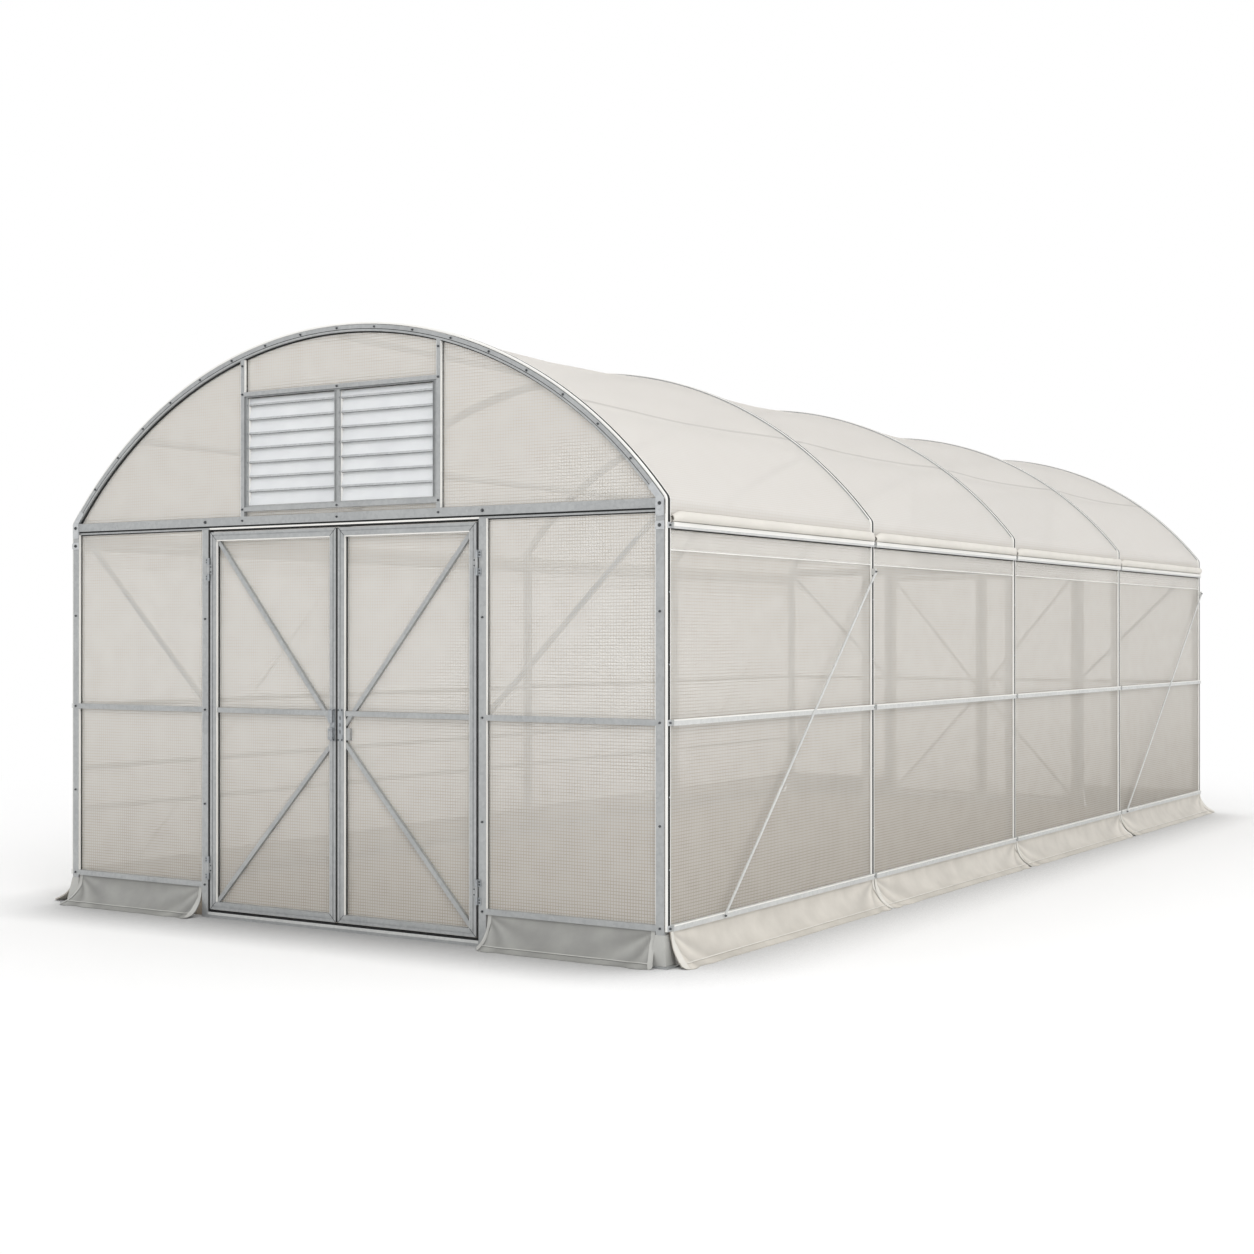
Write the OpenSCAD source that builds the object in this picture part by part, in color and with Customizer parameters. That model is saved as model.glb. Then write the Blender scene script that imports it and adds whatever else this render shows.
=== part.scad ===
// Polytunnel greenhouse: five arched tube hoops in four bays, clad in film, with a pair of
// hinged doors and a fixed louvred vent in each end wall.
// Millimetres. Origin on the ground in the middle of the floor, +Z up, front end at -Y.

/* [Tunnel] */
// Width over the outer faces of the posts
tunnel_w = 3540; // [3200:10:3900]
// Length of one bay, from hoop centre to hoop centre
bay_len = 2000; // [1700:10:2300]
// Height of the eave, where the bows stand on the posts
eave_h = 1940; // [1880:10:2100]
// Rise of the bows above the eave
rise = 864; // [780:2:960]

/* [Frame tubes] */
// Side of the square tube of posts, jambs and lintels, and the bows' width
tube = 40; // [34:1:48]
// Depth of the bows' tube, from its outer to its inner curve
bow_d = 30; // [30:1:44]
// Distance of the groove in the end bows' faces from their inner curve
bow_groove_in = 9; // [6:1:14]
// Width of that groove
bow_groove_w = 3; // [2:0.5:5]
// Depth of that groove
bow_groove_d = 2; // [1:0.5:4]
// Side of the square tube of wall rails and purlins
rail = 25; // [20:1:30]
// Side of the square tube of the end wall braces
end_brace = 20; // [14:1:24]
// Slope of the side purlins away from the ridge, in degrees
purlin_angle = 36; // [30:1:44]
// Thickness of the plates that join bow and post
joint_plate_t = 3; // [2:0.5:5]
// Reach of a joint plate from the eave corner along both tubes
joint_plate_reach = 75; // [60:1:100]

/* [Feet] */
// Side of the square foot plates
foot_w = 130; // [110:1:150]
// Thickness of the foot plates
foot_t = 6; // [4:1:10]
// Distance between the anchor holes of a foot plate
anchor_pitch = 90; // [84:1:96]
// Radius of the anchor holes
anchor_r = 6; // [4:0.5:7]

/* [Side walls] */
// Drop of the eave rail's centre line below the eave
eave_rail_drop = 113; // [85:1:140]
// Height of the mid rail's centre line, also in the end walls
mid_rail_z = 1008; // [900:2:1100]
// Height of the bottom rail's centre line, also in the end walls
bottom_rail_z = 157; // [130:1:180]
// Heights of the two rails inside the left wall
inner_rail_z = [480, 690];
// Diameter of the rolled film edge above the eave rail
roll_d = 50; // [30:1:56]
// Width of the wall braces
wall_brace_w = 14; // [10:1:24]
// Thickness of the wall braces
wall_brace_t = 5; // [3:1:8]
// Drop of a wall brace's upper end below the eave
wall_brace_drop = 250; // [190:10:440]
// Distance from the front hoop to the foot of the front bay's brace
front_brace_foot = 440; // [100:10:700]
// Distance from the fourth hoop to the foot of the rear bay's brace
rear_brace_foot = 110; // [100:10:700]

/* [Film] */
// Thickness of the cladding film as modelled
film_t = 3; // [2:0.5:5]
// Sag of the roof film in the middle of a bay
sag = 28; // [10:1:28]
// Width of the clamping strips over the hoops
strip_w = 32; // [24:1:38]
// Thickness of the clamping strips
strip_t = 10; // [6:1:14]
// Reach of the skirts over the ground
skirt_out = 105; // [80:1:130]
// Gap between a skirt and the hoop line at each of its ends
skirt_end_gap = 6; // [4:1:20]
// Thickness of the ground sheet
ground_sheet_t = 2; // [1:0.5:4]

/* [Doors] */
// Clear width between the door jambs
opening_w = 1636; // [1500:4:1720]
// Height of the channel under the lintel
channel_h = 16; // [10:1:24]
// Depth of the channel under the lintel
channel_d = 24; // [16:1:30]
// Height of the threshold
threshold_h = 26; // [16:1:30]
// Gap round the door leaves at jamb, channel and threshold
door_gap = 14; // [12:1:18]
// Gap between the two leaves of a pair
meeting_gap = 12; // [12:1:20]
// Width of the leaves' outer tubes
stile = 37; // [30:1:44]
// Depth of the leaves' tubes
leaf_d = 30; // [24:1:34]
// Distance of the groove in a leaf's outer tubes from the leaf's edge
leaf_groove_in = 13; // [8:1:16]
// Width of that groove
leaf_groove_w = 5; // [3:1:8]
// Depth of that groove
leaf_groove_d = 3; // [2:0.5:5]
// Height of a leaf's mid rail
leaf_mid_rail = 24; // [18:1:30]
// Depth of a leaf's mid rail
leaf_mid_rail_d = 20; // [16:1:24]
// Width of a leaf's diagonals
leaf_brace = 20; // [14:1:26]
// Depth of a leaf's diagonals, which lie against the film
leaf_brace_d = 16; // [12:1:20]
// Drop of the knee, where the diagonals meet the lock stile, below the mid rail
leaf_knee_drop = 96; // [60:1:140]
// Distance between the two diagonals at the knee
leaf_knee_gap = 56; // [30:1:80]
// Width of the plate at the knee
leaf_knee_plate = 24; // [16:1:40]
// Margin of the leaf film inside the leaf's outline
leaf_film_margin = 4; // [2:1:10]

/* [Hinges and latches] */
// Radius of the hinge barrels
barrel_r = 7; // [6:0.5:8]
// Radius of the hinge pins
pin_r = 3.5; // [3:0.5:4]
// Radial running clearance of the pins
pin_clearance = 0.08; // [0.05:0.01:0.1]
// Length of a hinge
hinge_len = 112; // [90:1:140]
// Length of each of the two jamb barrels of a hinge
jamb_barrel_len = 32; // [24:1:36]
// Axial gap between neighbouring barrels
barrel_gap = 1; // [0.5:0.1:2]
// Thickness of the hinge tabs
hinge_tab_t = 4; // [3:0.5:5]
// Reach of the hinge tabs onto jamb and stile
hinge_tab_reach = 14; // [10:1:20]
// Distance of the lower hinges from the leaves' bottom edge
hinge_low = 200; // [100:5:300]
// Distance of the upper hinges from the leaves' top edge
hinge_high = 180; // [100:5:300]
// Drop of the latches' middle below the mid rail
latch_drop = 53; // [20:1:90]
// Length of the latch plates
latch_len = 150; // [130:1:180]
// Width of the latch plates
latch_w = 30; // [24:1:30]
// Thickness of the latch plates
latch_t = 4; // [3:0.5:6]
// Margin of the latch case and the bolt inside the plate's outline
latch_margin = 4; // [2:0.5:6]
// Length of the latch case
latch_case_len = 60; // [40:1:64]
// Depth of the latch case
latch_case_d = 14; // [10:1:20]
// Radius of the latch bolt
bolt_r = 8; // [6:0.5:9]
// Length of the latch bolt
bolt_len = 58; // [40:1:60]
// Distance between the slots of the keeper plate
slot_pitch = 32; // [24:1:36]
// Width of the slots
slot_w = 7; // [5:0.5:10]
// Length of the slots
slot_len = 16; // [10:1:20]

/* [Gable vent] */
// Width between the vent's posts
vent_w = 1164; // [1000:4:1240]
// Height of the vent, from under its sill to the top of its header
vent_h = 572; // [480:4:600]
// Gap between the lintel and the vent's sill
vent_gap = 24; // [16:1:40]
// Width of the posts at the vent's sides
vent_post = 22; // [18:1:36]
// Height of the vent's header and sill
vent_rail = 20; // [16:1:30]
// Width of the inner frame's side members
vent_bar = 20; // [10:1:24]
// Height of the inner frame's top and bottom members
vent_head = 8; // [6:1:20]
// Width of the bar between the two columns of blades
vent_mullion = 30; // [16:1:36]
// Depth of the inner frame
vent_d = 30; // [24:1:36]
// Recess of the inner frame behind the faces of posts, header and sill
vent_recess = 10; // [4:1:14]
// Number of rolled blade edges in one column
blades = 7; // [5:1:9]
// Thickness of the blades
blade_t = 3; // [2:0.5:4]
// Depth over which a blade leans back
blade_lean = 16; // [12:1:18]
// Height by which a blade reaches behind the next one above it
blade_overlap = 8; // [4:1:12]
// Radius of the blades' rolled edges
blade_lip_r = 4.5; // [4:0.5:7]
// Gap between a blade's head or foot and the inner frame
blade_gap = 1; // [0.5:0.5:3]

/* [Hidden] */
$fn = 96;
// Sides of the wide circles that the bows and the film follow
wide_circle = 360;

// Clearance of curved faces and of film edges that lie against a curve
seat_gap = 0.3;
// Bays along the tunnel and sides of the roof film's facets
bays = 4;
film_steps_round = 28;
film_steps_along = 8;

half_w = tunnel_w / 2;
end_y = bays * bay_len / 2;
hoop_y = [for (i = [0 : bays]) i * bay_len - end_y];
post_in = half_w - tube;
bow_r = (half_w * half_w + rise * rise) / (2 * rise);
bow_z = eave_h + rise - bow_r;
spring_angle = asin(half_w / bow_r);
bow_in_r = bow_r - bow_d;
bow_seat_r = bow_in_r - seat_gap;

// The roof film is faceted, so its corners stand proud to keep its flats off the bows
film_step_angle = 2 * spring_angle / film_steps_round;
film_r = (bow_r + seat_gap) / cos(film_step_angle / 2);
strip_r = film_r + film_t + seat_gap;
// Half the width over which the roof film lies flat on a bow and its joint plates
film_seat = tube / 2 + 1.5 * joint_plate_t;
film_span = bay_len - 2 * film_seat;

wall_out = half_w + film_t;
rail_out = wall_out + rail;
eave_rail_z = eave_h - eave_rail_drop;
wall_brace_top_z = eave_h - wall_brace_drop;
skirt_h = bottom_rail_z - rail / 2;
skirt_r = (skirt_h * skirt_h + skirt_out * skirt_out) / (2 * skirt_out);

// End walls: the film lies in the middle of the tubes, rails before it and braces behind it
end_face = end_y + tube / 2;
lintel_z = eave_h - tube;
channel_z = lintel_z - channel_h;
jamb_in = opening_w / 2;
jamb_out = jamb_in + tube;
inside_len = 2 * (end_y - film_t);

leaf_w = jamb_in - door_gap - meeting_gap / 2;
leaf_z = threshold_h + door_gap;
leaf_h = channel_z - door_gap - leaf_z;
hinge_x = jamb_in - door_gap / 2;
hinge_off = barrel_r;
hinge_z = [leaf_z + hinge_low, leaf_z + leaf_h - hinge_high];
leaf_barrel_len = hinge_len - 2 * jamb_barrel_len - 2 * barrel_gap;
latch_z = mid_rail_z - latch_drop;

vent_z = eave_h + vent_gap;
vent_top = vent_z + vent_h;
vent_half = vent_w / 2;
vent_post_out = vent_half + vent_post;
vent_frame_y = -end_face + vent_recess + vent_d / 2;
// The blades' columns; the topmost blade is half a row high
blade_len = (vent_w - 2 * vent_bar - vent_mullion) / 2;
blade_top = vent_top - vent_rail - vent_head;
blade_foot = vent_z + vent_rail + vent_head;
blade_pitch = (blade_top - blade_foot) / (blades + 0.5);

galvanised = "silver";
steel_grey = "slategray";
film_white = "whitesmoke";
skirt_cream = "linen";

// Extrudes a drawing of the X-Z plane to a depth along Y, centred on y
module upright(depth, y) {
    translate([0, y, 0]) rotate([90, 0, 0]) linear_extrude(depth, center = true) children();
}

// Extrudes a drawing of the Y-Z plane along X, starting at x
module sideways(depth, x) {
    translate([x, 0, 0]) rotate([90, 0, 90]) linear_extrude(depth) children();
}

// Draws a bar from point a to point b
module bar(a, b, w) {
    d = b - a;
    translate(a) rotate(atan2(d[1], d[0])) translate([0, -w / 2]) square([norm(d), w]);
}

// Draws a block given by its low and high corners
module block(low, high) {
    translate(low) cube(high - low);
}

// Draws the part of a ring about the bows' centre that lies above the eave
module arch(r_in, r_out) {
    intersection() {
        translate([0, bow_z]) difference() {
            circle(r_out, $fn = wide_circle);
            circle(r_in, $fn = wide_circle);
        }
        translate([-tunnel_w, eave_h]) square([2 * tunnel_w, 2 * rise]);
    }
}

// Draws what lies above the eave and inside the bows
module gable() {
    intersection() {
        translate([0, bow_z]) circle(bow_seat_r, $fn = wide_circle);
        translate([-tunnel_w, eave_h]) square([2 * tunnel_w, 2 * rise]);
    }
}

module at_sides() {
    children();
    mirror([1, 0, 0]) children();
}

module at_ends() {
    children();
    mirror([0, 1, 0]) children();
}

module bow(i) {
    color(galvanised) upright(tube, hoop_y[i]) arch(bow_in_r, bow_r);
}

// The bow at an end, with a groove round its outer face; side is -1 at the front, 1 at the rear
module end_bow(i, side) {
    groove_r = bow_in_r + bow_groove_in;
    difference() {
        bow(i);
        upright(2 * bow_groove_d, hoop_y[i] + side * tube / 2) arch(groove_r, groove_r + bow_groove_w);
    }
}

module posts(side) {
    color(galvanised) for (y = hoop_y)
        translate([side * (half_w - tube / 2) - tube / 2, y - tube / 2, foot_t])
            cube([tube, tube, eave_h - foot_t]);
}

module foot_plate() {
    hole = anchor_pitch / 2;
    difference() {
        translate([-foot_w / 2, -foot_w / 2, 0]) cube([foot_w, foot_w, foot_t]);
        for (x = [-hole, hole], y = [-hole, hole])
            translate([x, y, -foot_t]) cylinder(r = anchor_r, h = 3 * foot_t);
    }
}

module foot_plates() {
    color(galvanised) at_sides() for (y = hoop_y) translate([half_w - tube / 2, y, 0]) foot_plate();
}

// Outline of the plate over the corner between post and bow
module joint_plate() {
    intersection() {
        union() {
            arch(bow_in_r, bow_r);
            translate([post_in, 0]) square([tube, eave_h]);
        }
        translate([half_w - tube / 2, eave_h]) circle(joint_plate_reach);
    }
}

module eave_joint_plates() {
    off = (tube + joint_plate_t) / 2;
    color(galvanised) at_sides() for (y = hoop_y, s = [-off, off])
        upright(joint_plate_t, y + s) joint_plate();
}

module purlins() {
    color(galvanised) for (a = [-purlin_angle, 0, purlin_angle])
        translate([0, 0, bow_z]) rotate([0, a, 0])
            translate([0, 0, bow_seat_r - rail / 2]) cube([rail, inside_len, rail], center = true);
}

// One rail in each bay, from strip to strip
module bay_rails(z) {
    for (i = [0 : bays - 1])
        block([wall_out, hoop_y[i] + strip_w / 2, z - rail / 2],
              [rail_out, hoop_y[i + 1] - strip_w / 2, z + rail / 2]);
}

module wall_rails() {
    color(galvanised) for (z = [eave_rail_z, mid_rail_z, bottom_rail_z]) bay_rails(z);
}

module left_inner_rails() {
    color(galvanised) for (z = inner_rail_z)
        block([-post_in, -inside_len / 2, z - rail / 2],
              [-post_in + rail, inside_len / 2, z + rail / 2]);
}

// A flat bar on the rails, with a block that carries its upper end off the strip
module wall_brace(foot_y, top_y) {
    stand_off = strip_w / 2;
    sideways(wall_brace_t, rail_out)
        bar([foot_y, bottom_rail_z], [top_y, wall_brace_top_z], wall_brace_w);
    block([wall_out + strip_t, top_y - stand_off, wall_brace_top_z - stand_off],
          [rail_out + wall_brace_t, top_y, wall_brace_top_z + stand_off]);
}

module wall_braces() {
    color(galvanised) at_sides() {
        wall_brace(hoop_y[0] + front_brace_foot, hoop_y[1]);
        wall_brace(hoop_y[bays - 1] + rear_brace_foot, hoop_y[bays]);
    }
}

module lintel() {
    color(galvanised) {
        block([-post_in, -end_face, lintel_z], [post_in, -end_face + tube, eave_h]);
        block([-post_in, -end_y - channel_d / 2, channel_z],
              [post_in, -end_y + channel_d / 2, lintel_z]);
    }
}

module jambs() {
    color(galvanised) at_sides()
        block([jamb_in, -end_face, 0], [jamb_out, -end_face + tube, channel_z]);
}

module thresholds() {
    color(galvanised) at_ends()
        block([-jamb_in, -end_face, 0], [jamb_in, -end_face + tube, threshold_h]);
}

module end_rails() {
    color(galvanised) at_sides() for (z = [mid_rail_z, bottom_rail_z])
        block([jamb_out, -end_face, z - rail / 2], [post_in, -end_y, z + rail / 2]);
}

// From the top of the corner post down to the jamb at mid height, behind the film
module end_brace_bar() {
    top = [post_in, channel_z];
    low = [jamb_out, mid_rail_z + rail];
    upright(end_brace, -end_y + film_t + end_brace / 2) intersection() {
        bar(low - (top - low), top + (top - low), end_brace);
        translate([jamb_out, 0]) square([post_in - jamb_out, channel_z]);
    }
}

module end_braces() {
    color(galvanised) at_ends() at_sides() end_brace_bar();
}

// Two posts from lintel to bow, a header and a sill between them and the blades' inner frame
module vent_frame() {
    color(galvanised) {
        upright(tube, -end_y) {
            intersection() {
                gable();
                for (x = [-vent_post_out, vent_half])
                    translate([x, eave_h]) square([vent_post, rise]);
            }
            for (z = [vent_z, vent_top - vent_rail])
                translate([-vent_half, z]) square([vent_w, vent_rail]);
        }
        upright(vent_d, vent_frame_y) difference() {
            translate([-vent_half, vent_z + vent_rail]) square([vent_w, vent_h - 2 * vent_rail]);
            for (x = [-vent_half + vent_bar, vent_mullion / 2])
                translate([x, blade_foot]) square([blade_len, blade_top - blade_foot]);
        }
    }
}

// Section of one column of blades: steep slats, the upper ones with a rolled lower edge
module blade_column() {
    front = vent_frame_y - vent_d / 2 + blade_lip_r;
    for (i = [0 : blades]) {
        low = max(blade_top - (i + 0.5) * blade_pitch, blade_foot + blade_gap);
        high = min(low + blade_pitch + blade_overlap, blade_top - blade_gap - blade_t / 2);
        bar([front, low], [front + blade_lean * (high - low) / blade_pitch, high], blade_t);
        if (i < blades) translate([front, low]) circle(blade_lip_r);
    }
}

module vent_blades() {
    color(film_white) for (x = [-vent_mullion / 2 - blade_len, vent_mullion / 2])
        sideways(blade_len, x) blade_column();
}

// Sag of the roof film at an angle from the ridge and a distance from the middle of the bay
function film_sag(angle, y) =
    let (along = min(1, 2 * abs(y) / film_span), round = angle / spring_angle)
    sag * (1 - along * along) * (1 - pow(round, 4));

function film_point(r, angle, y, mid_y) =
    let (rr = r - film_sag(angle, y - mid_y))
    [rr * sin(angle), y, bow_z + rr * cos(angle)];

// One bay's sheet of roof film, from hoop to hoop; the end bays' sheets reach under the end strips
module roof_film(bay) {
    n = film_steps_round;
    mid_y = (hoop_y[bay] + hoop_y[bay + 1]) / 2;
    stations = [
        hoop_y[bay] - (bay == 0 ? strip_w / 2 : 0),
        for (j = [0 : film_steps_along]) mid_y + film_span * (j / film_steps_along - 0.5),
        hoop_y[bay + 1] + (bay == bays - 1 ? strip_w / 2 : 0)
    ];
    m = len(stations) - 1;
    points = [for (r = [film_r + film_t, film_r], i = [0 : n], y = stations)
        film_point(r, -spring_angle + i * film_step_angle, y, mid_y)];
    under = (n + 1) * (m + 1);
    function at(i, j) = i * (m + 1) + j;
    faces = [
        for (i = [0 : n - 1], j = [0 : m - 1])
            let (a = at(i, j), b = at(i + 1, j), c = at(i + 1, j + 1), d = at(i, j + 1), u = under)
            each [[a, d, c], [a, c, b], [a + u, c + u, d + u], [a + u, b + u, c + u]],
        for (i = [0 : n - 1])
            let (a = at(i, 0), b = at(i + 1, 0), c = at(i, m), d = at(i + 1, m), u = under)
            each [[a, b, b + u], [a, b + u, a + u], [c, d + u, d], [c, c + u, d + u]],
        for (j = [0 : m - 1])
            let (a = at(0, j), b = at(0, j + 1), c = at(n, j), d = at(n, j + 1), u = under)
            each [[b, a, a + u], [b, a + u, b + u], [c, d, d + u], [c, d + u, c + u]]
    ];
    color(film_white) polyhedron(points, faces);
}

// Film of an end wall: two panels beside the doors and four pieces round the vent
module end_film() {
    color(film_white) upright(film_t, -end_y + film_t / 2) {
        for (x = [-post_in, jamb_out])
            translate([x, skirt_h]) square([post_in - jamb_out, channel_z - skirt_h]);
        intersection() {
            gable();
            for (x = [-half_w, vent_post_out])
                translate([x, eave_h]) square([half_w - vent_post_out, rise]);
        }
        intersection() {
            gable();
            translate([-vent_half, vent_top]) square([vent_w, rise]);
        }
        translate([-vent_half, eave_h]) square([vent_w, vent_gap]);
    }
}

module wall_film() {
    color(film_white)
        block([half_w, -end_y - strip_w / 2, skirt_h], [wall_out, end_y + strip_w / 2, eave_h]);
}

// Section of a skirt: a bell curve from the bottom rail out over the ground
module skirt_section() {
    intersection() {
        translate([skirt_r, skirt_h]) difference() {
            circle(skirt_r);
            circle(skirt_r - film_t);
        }
        square([skirt_out + skirt_r / 2, skirt_h]);
    }
}

// A skirt along Y from y0 to y1 that starts at x
module skirt_run(x, y0, y1) {
    translate([x, y1, 0]) rotate([90, 0, 0]) linear_extrude(y1 - y0) skirt_section();
}

module side_skirt() {
    color(skirt_cream) for (i = [0 : bays - 1])
        skirt_run(wall_out + rail / 2, hoop_y[i] + skirt_end_gap, hoop_y[i + 1] - skirt_end_gap);
}

module end_skirt() {
    color(skirt_cream) at_sides() rotate([0, 0, -90])
        skirt_run(end_y + tube / 4, jamb_out + skirt_end_gap, post_in - skirt_end_gap);
}

module hoop_strips() {
    color(film_white) for (y = hoop_y) {
        upright(strip_w, y) arch(strip_r, strip_r + strip_t);
        at_sides() block([wall_out, y - strip_w / 2, skirt_h],
                         [wall_out + strip_t, y + strip_w / 2, eave_h]);
    }
}

module eave_rolls() {
    roll_r = roll_d / 2;
    color(film_white) at_sides() for (i = [0 : bays - 1])
        translate([wall_out + seat_gap + roll_r, hoop_y[i + 1] - strip_w / 2,
                   eave_rail_z + rail / 2 + seat_gap + roll_r])
            rotate([90, 0, 0]) cylinder(r = roll_r, h = bay_len - strip_w);
}

module ground_sheet() {
    x = half_w - tube / 2 - foot_w / 2;
    y = end_y - tube / 2;
    color("tan") block([-x, -y, 0], [x, y, ground_sheet_t]);
}

// Barrel of a hinge with a tab on the tube face behind it; side is -1 to the jamb, 1 to the leaf
module barrel(side, z, len) {
    reach = door_gap / 2 + hinge_tab_reach;
    translate([0, 0, z]) cylinder(r = barrel_r, h = len);
    block([side < 0 ? -reach : 0, hinge_off - hinge_tab_t, z], [side < 0 ? 0 : reach, hinge_off, z + len]);
}

// Jamb half of a left-hand hinge, about its own axis: two barrels and the pin
module jamb_hinge() {
    barrel(-1, -hinge_len / 2, jamb_barrel_len);
    barrel(-1, hinge_len / 2 - jamb_barrel_len, jamb_barrel_len);
    translate([0, 0, -hinge_len / 2]) cylinder(r = pin_r, h = hinge_len);
}

// Leaf half of a left-hand hinge: one bored barrel
module leaf_hinge() {
    difference() {
        barrel(1, -leaf_barrel_len / 2, leaf_barrel_len);
        cylinder(r = pin_r + pin_clearance, h = hinge_len, center = true);
    }
}

// Places a left-hand hinge of the front doors
module at_hinges() {
    for (z = hinge_z) translate([-hinge_x, -end_face - hinge_off, z]) children();
}

module jamb_hinges() {
    color(steel_grey) at_ends() at_sides() at_hinges() jamb_hinge();
}

// Drawing of a leaf's outline, moved in by a margin
module leaf_outline(margin) {
    translate([margin, margin]) square([leaf_w - 2 * margin, leaf_h - 2 * margin]);
}

// Drawing of the diagonals and of the plate at the knee
module leaf_diagonals() {
    knee = [leaf_w - stile / 2, mid_rail_z - leaf_knee_drop - leaf_z];
    spread = [0, leaf_knee_gap / 2];
    intersection() {
        leaf_outline(stile);
        union() {
            bar([stile / 2, leaf_h - stile / 2], knee + spread, leaf_brace);
            bar([stile / 2, stile / 2], knee - spread, leaf_brace);
            translate(knee - spread - [stile / 2 + leaf_knee_plate, 0])
                square([leaf_knee_plate + stile, leaf_knee_gap]);
        }
    }
}

// Front left leaf: a grooved tube frame, a mid rail and behind it two diagonals that make a K
module leaf_frame() {
    translate([-jamb_in + door_gap, -end_face + leaf_d / 2, leaf_z]) {
        difference() {
            upright(leaf_d, 0) difference() {
                leaf_outline(0);
                leaf_outline(stile);
            }
            upright(2 * leaf_groove_d, -leaf_d / 2) difference() {
                leaf_outline(leaf_groove_in);
                leaf_outline(leaf_groove_in + leaf_groove_w);
            }
        }
        upright(leaf_mid_rail_d, 0)
            translate([stile, mid_rail_z - leaf_z - leaf_mid_rail / 2])
                square([leaf_w - 2 * stile, leaf_mid_rail]);
        upright(leaf_brace_d, (leaf_d - leaf_brace_d) / 2) leaf_diagonals();
    }
    at_hinges() leaf_hinge();
}

module leaf_film() {
    y = -end_face + leaf_d;
    x = -jamb_in + door_gap + leaf_film_margin;
    z = leaf_z + leaf_film_margin;
    block([x, y, z], [x + leaf_w - 2 * leaf_film_margin, y + film_t, z + leaf_h - 2 * leaf_film_margin]);
}

// Plate on the lock stile of the front left leaf
module latch_plate() {
    block([-meeting_gap / 2 - stile / 2 - latch_w / 2, -end_face - latch_t, latch_z - latch_len / 2],
          [-meeting_gap / 2 - stile / 2 + latch_w / 2, -end_face, latch_z + latch_len / 2]);
}

// Plate with a case above and a bolt in its sleeve below
module latch() {
    x = -meeting_gap / 2 - stile / 2;
    y = -end_face - latch_t;
    case_top = latch_z + latch_len / 2 - latch_margin;
    latch_plate();
    block([x - latch_w / 2 + latch_margin, y - latch_case_d, case_top - latch_case_len],
          [x + latch_w / 2 - latch_margin, y, case_top]);
    translate([x, y - bolt_r / 2, latch_z - latch_len / 2 + latch_margin])
        cylinder(r = bolt_r, h = bolt_len);
}

// Plate with three slots that the latch is hooked or locked through
module keeper() {
    x = -meeting_gap / 2 - stile / 2;
    difference() {
        latch_plate();
        for (i = [-1 : 1])
            translate([x, -end_face, latch_z + i * slot_pitch])
                cube([slot_w, 4 * latch_t, slot_len], center = true);
    }
}

// Copies a piece of the front left leaf to another corner of the tunnel
module to_corner(x_side, y_side) {
    mirror([x_side > 0 ? 1 : 0, 0, 0]) mirror([0, y_side > 0 ? 1 : 0, 0]) children();
}

module door(x_side, y_side) {
    color(galvanised) to_corner(x_side, y_side) leaf_frame();
}

module door_film(x_side, y_side) {
    color(film_white) to_corner(x_side, y_side) leaf_film();
}

module left_latch(y_side) {
    color(steel_grey) to_corner(-1, y_side) latch();
}

module right_latch(y_side) {
    color(steel_grey) to_corner(1, y_side) keeper();
}

end_bow(0, -1);  // front_bow
bow(1);  // bow_2
bow(2);  // bow_3
bow(3);  // bow_4
end_bow(4, 1);  // rear_bow
posts(-1);  // left_posts
posts(1);  // right_posts
foot_plates();
eave_joint_plates();
purlins();
mirror([1, 0, 0]) wall_rails();  // left_wall_rails
wall_rails();  // right_wall_rails
left_inner_rails();
wall_braces();
lintel();  // front_lintel
mirror([0, 1, 0]) lintel();  // rear_lintel
jambs();  // front_jambs
mirror([0, 1, 0]) jambs();  // rear_jambs
thresholds();
end_rails();  // front_end_rails
mirror([0, 1, 0]) end_rails();  // rear_end_rails
end_braces();
vent_frame();  // front_vent_frame
mirror([0, 1, 0]) vent_frame();  // rear_vent_frame
vent_blades();  // front_vent_blades
mirror([0, 1, 0]) vent_blades();  // rear_vent_blades
roof_film(0);  // roof_film_1
roof_film(1);  // roof_film_2
roof_film(2);  // roof_film_3
roof_film(3);  // roof_film_4
end_film();  // front_end_film
mirror([0, 1, 0]) end_film();  // rear_end_film
mirror([1, 0, 0]) wall_film();  // left_wall_film
wall_film();  // right_wall_film
mirror([1, 0, 0]) side_skirt();  // left_skirt
side_skirt();  // right_skirt
end_skirt();  // front_skirt
mirror([0, 1, 0]) end_skirt();  // rear_skirt
hoop_strips();
eave_rolls();
ground_sheet();
jamb_hinges();
door(-1, -1);  // front_left_door
door_film(-1, -1);  // front_left_door_film
left_latch(-1);  // front_left_latch
door(1, -1);  // front_right_door
door_film(1, -1);  // front_right_door_film
right_latch(-1);  // front_right_latch
door(-1, 1);  // rear_left_door
door_film(-1, 1);  // rear_left_door_film
left_latch(1);  // rear_left_latch
door(1, 1);  // rear_right_door
door_film(1, 1);  // rear_right_door_film
right_latch(1);  // rear_right_latch
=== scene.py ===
"""Polytunnel greenhouse: film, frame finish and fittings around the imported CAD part. Metres, front at -Y."""

import math

import bpy
from mathutils import Matrix, Vector, noise


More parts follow.
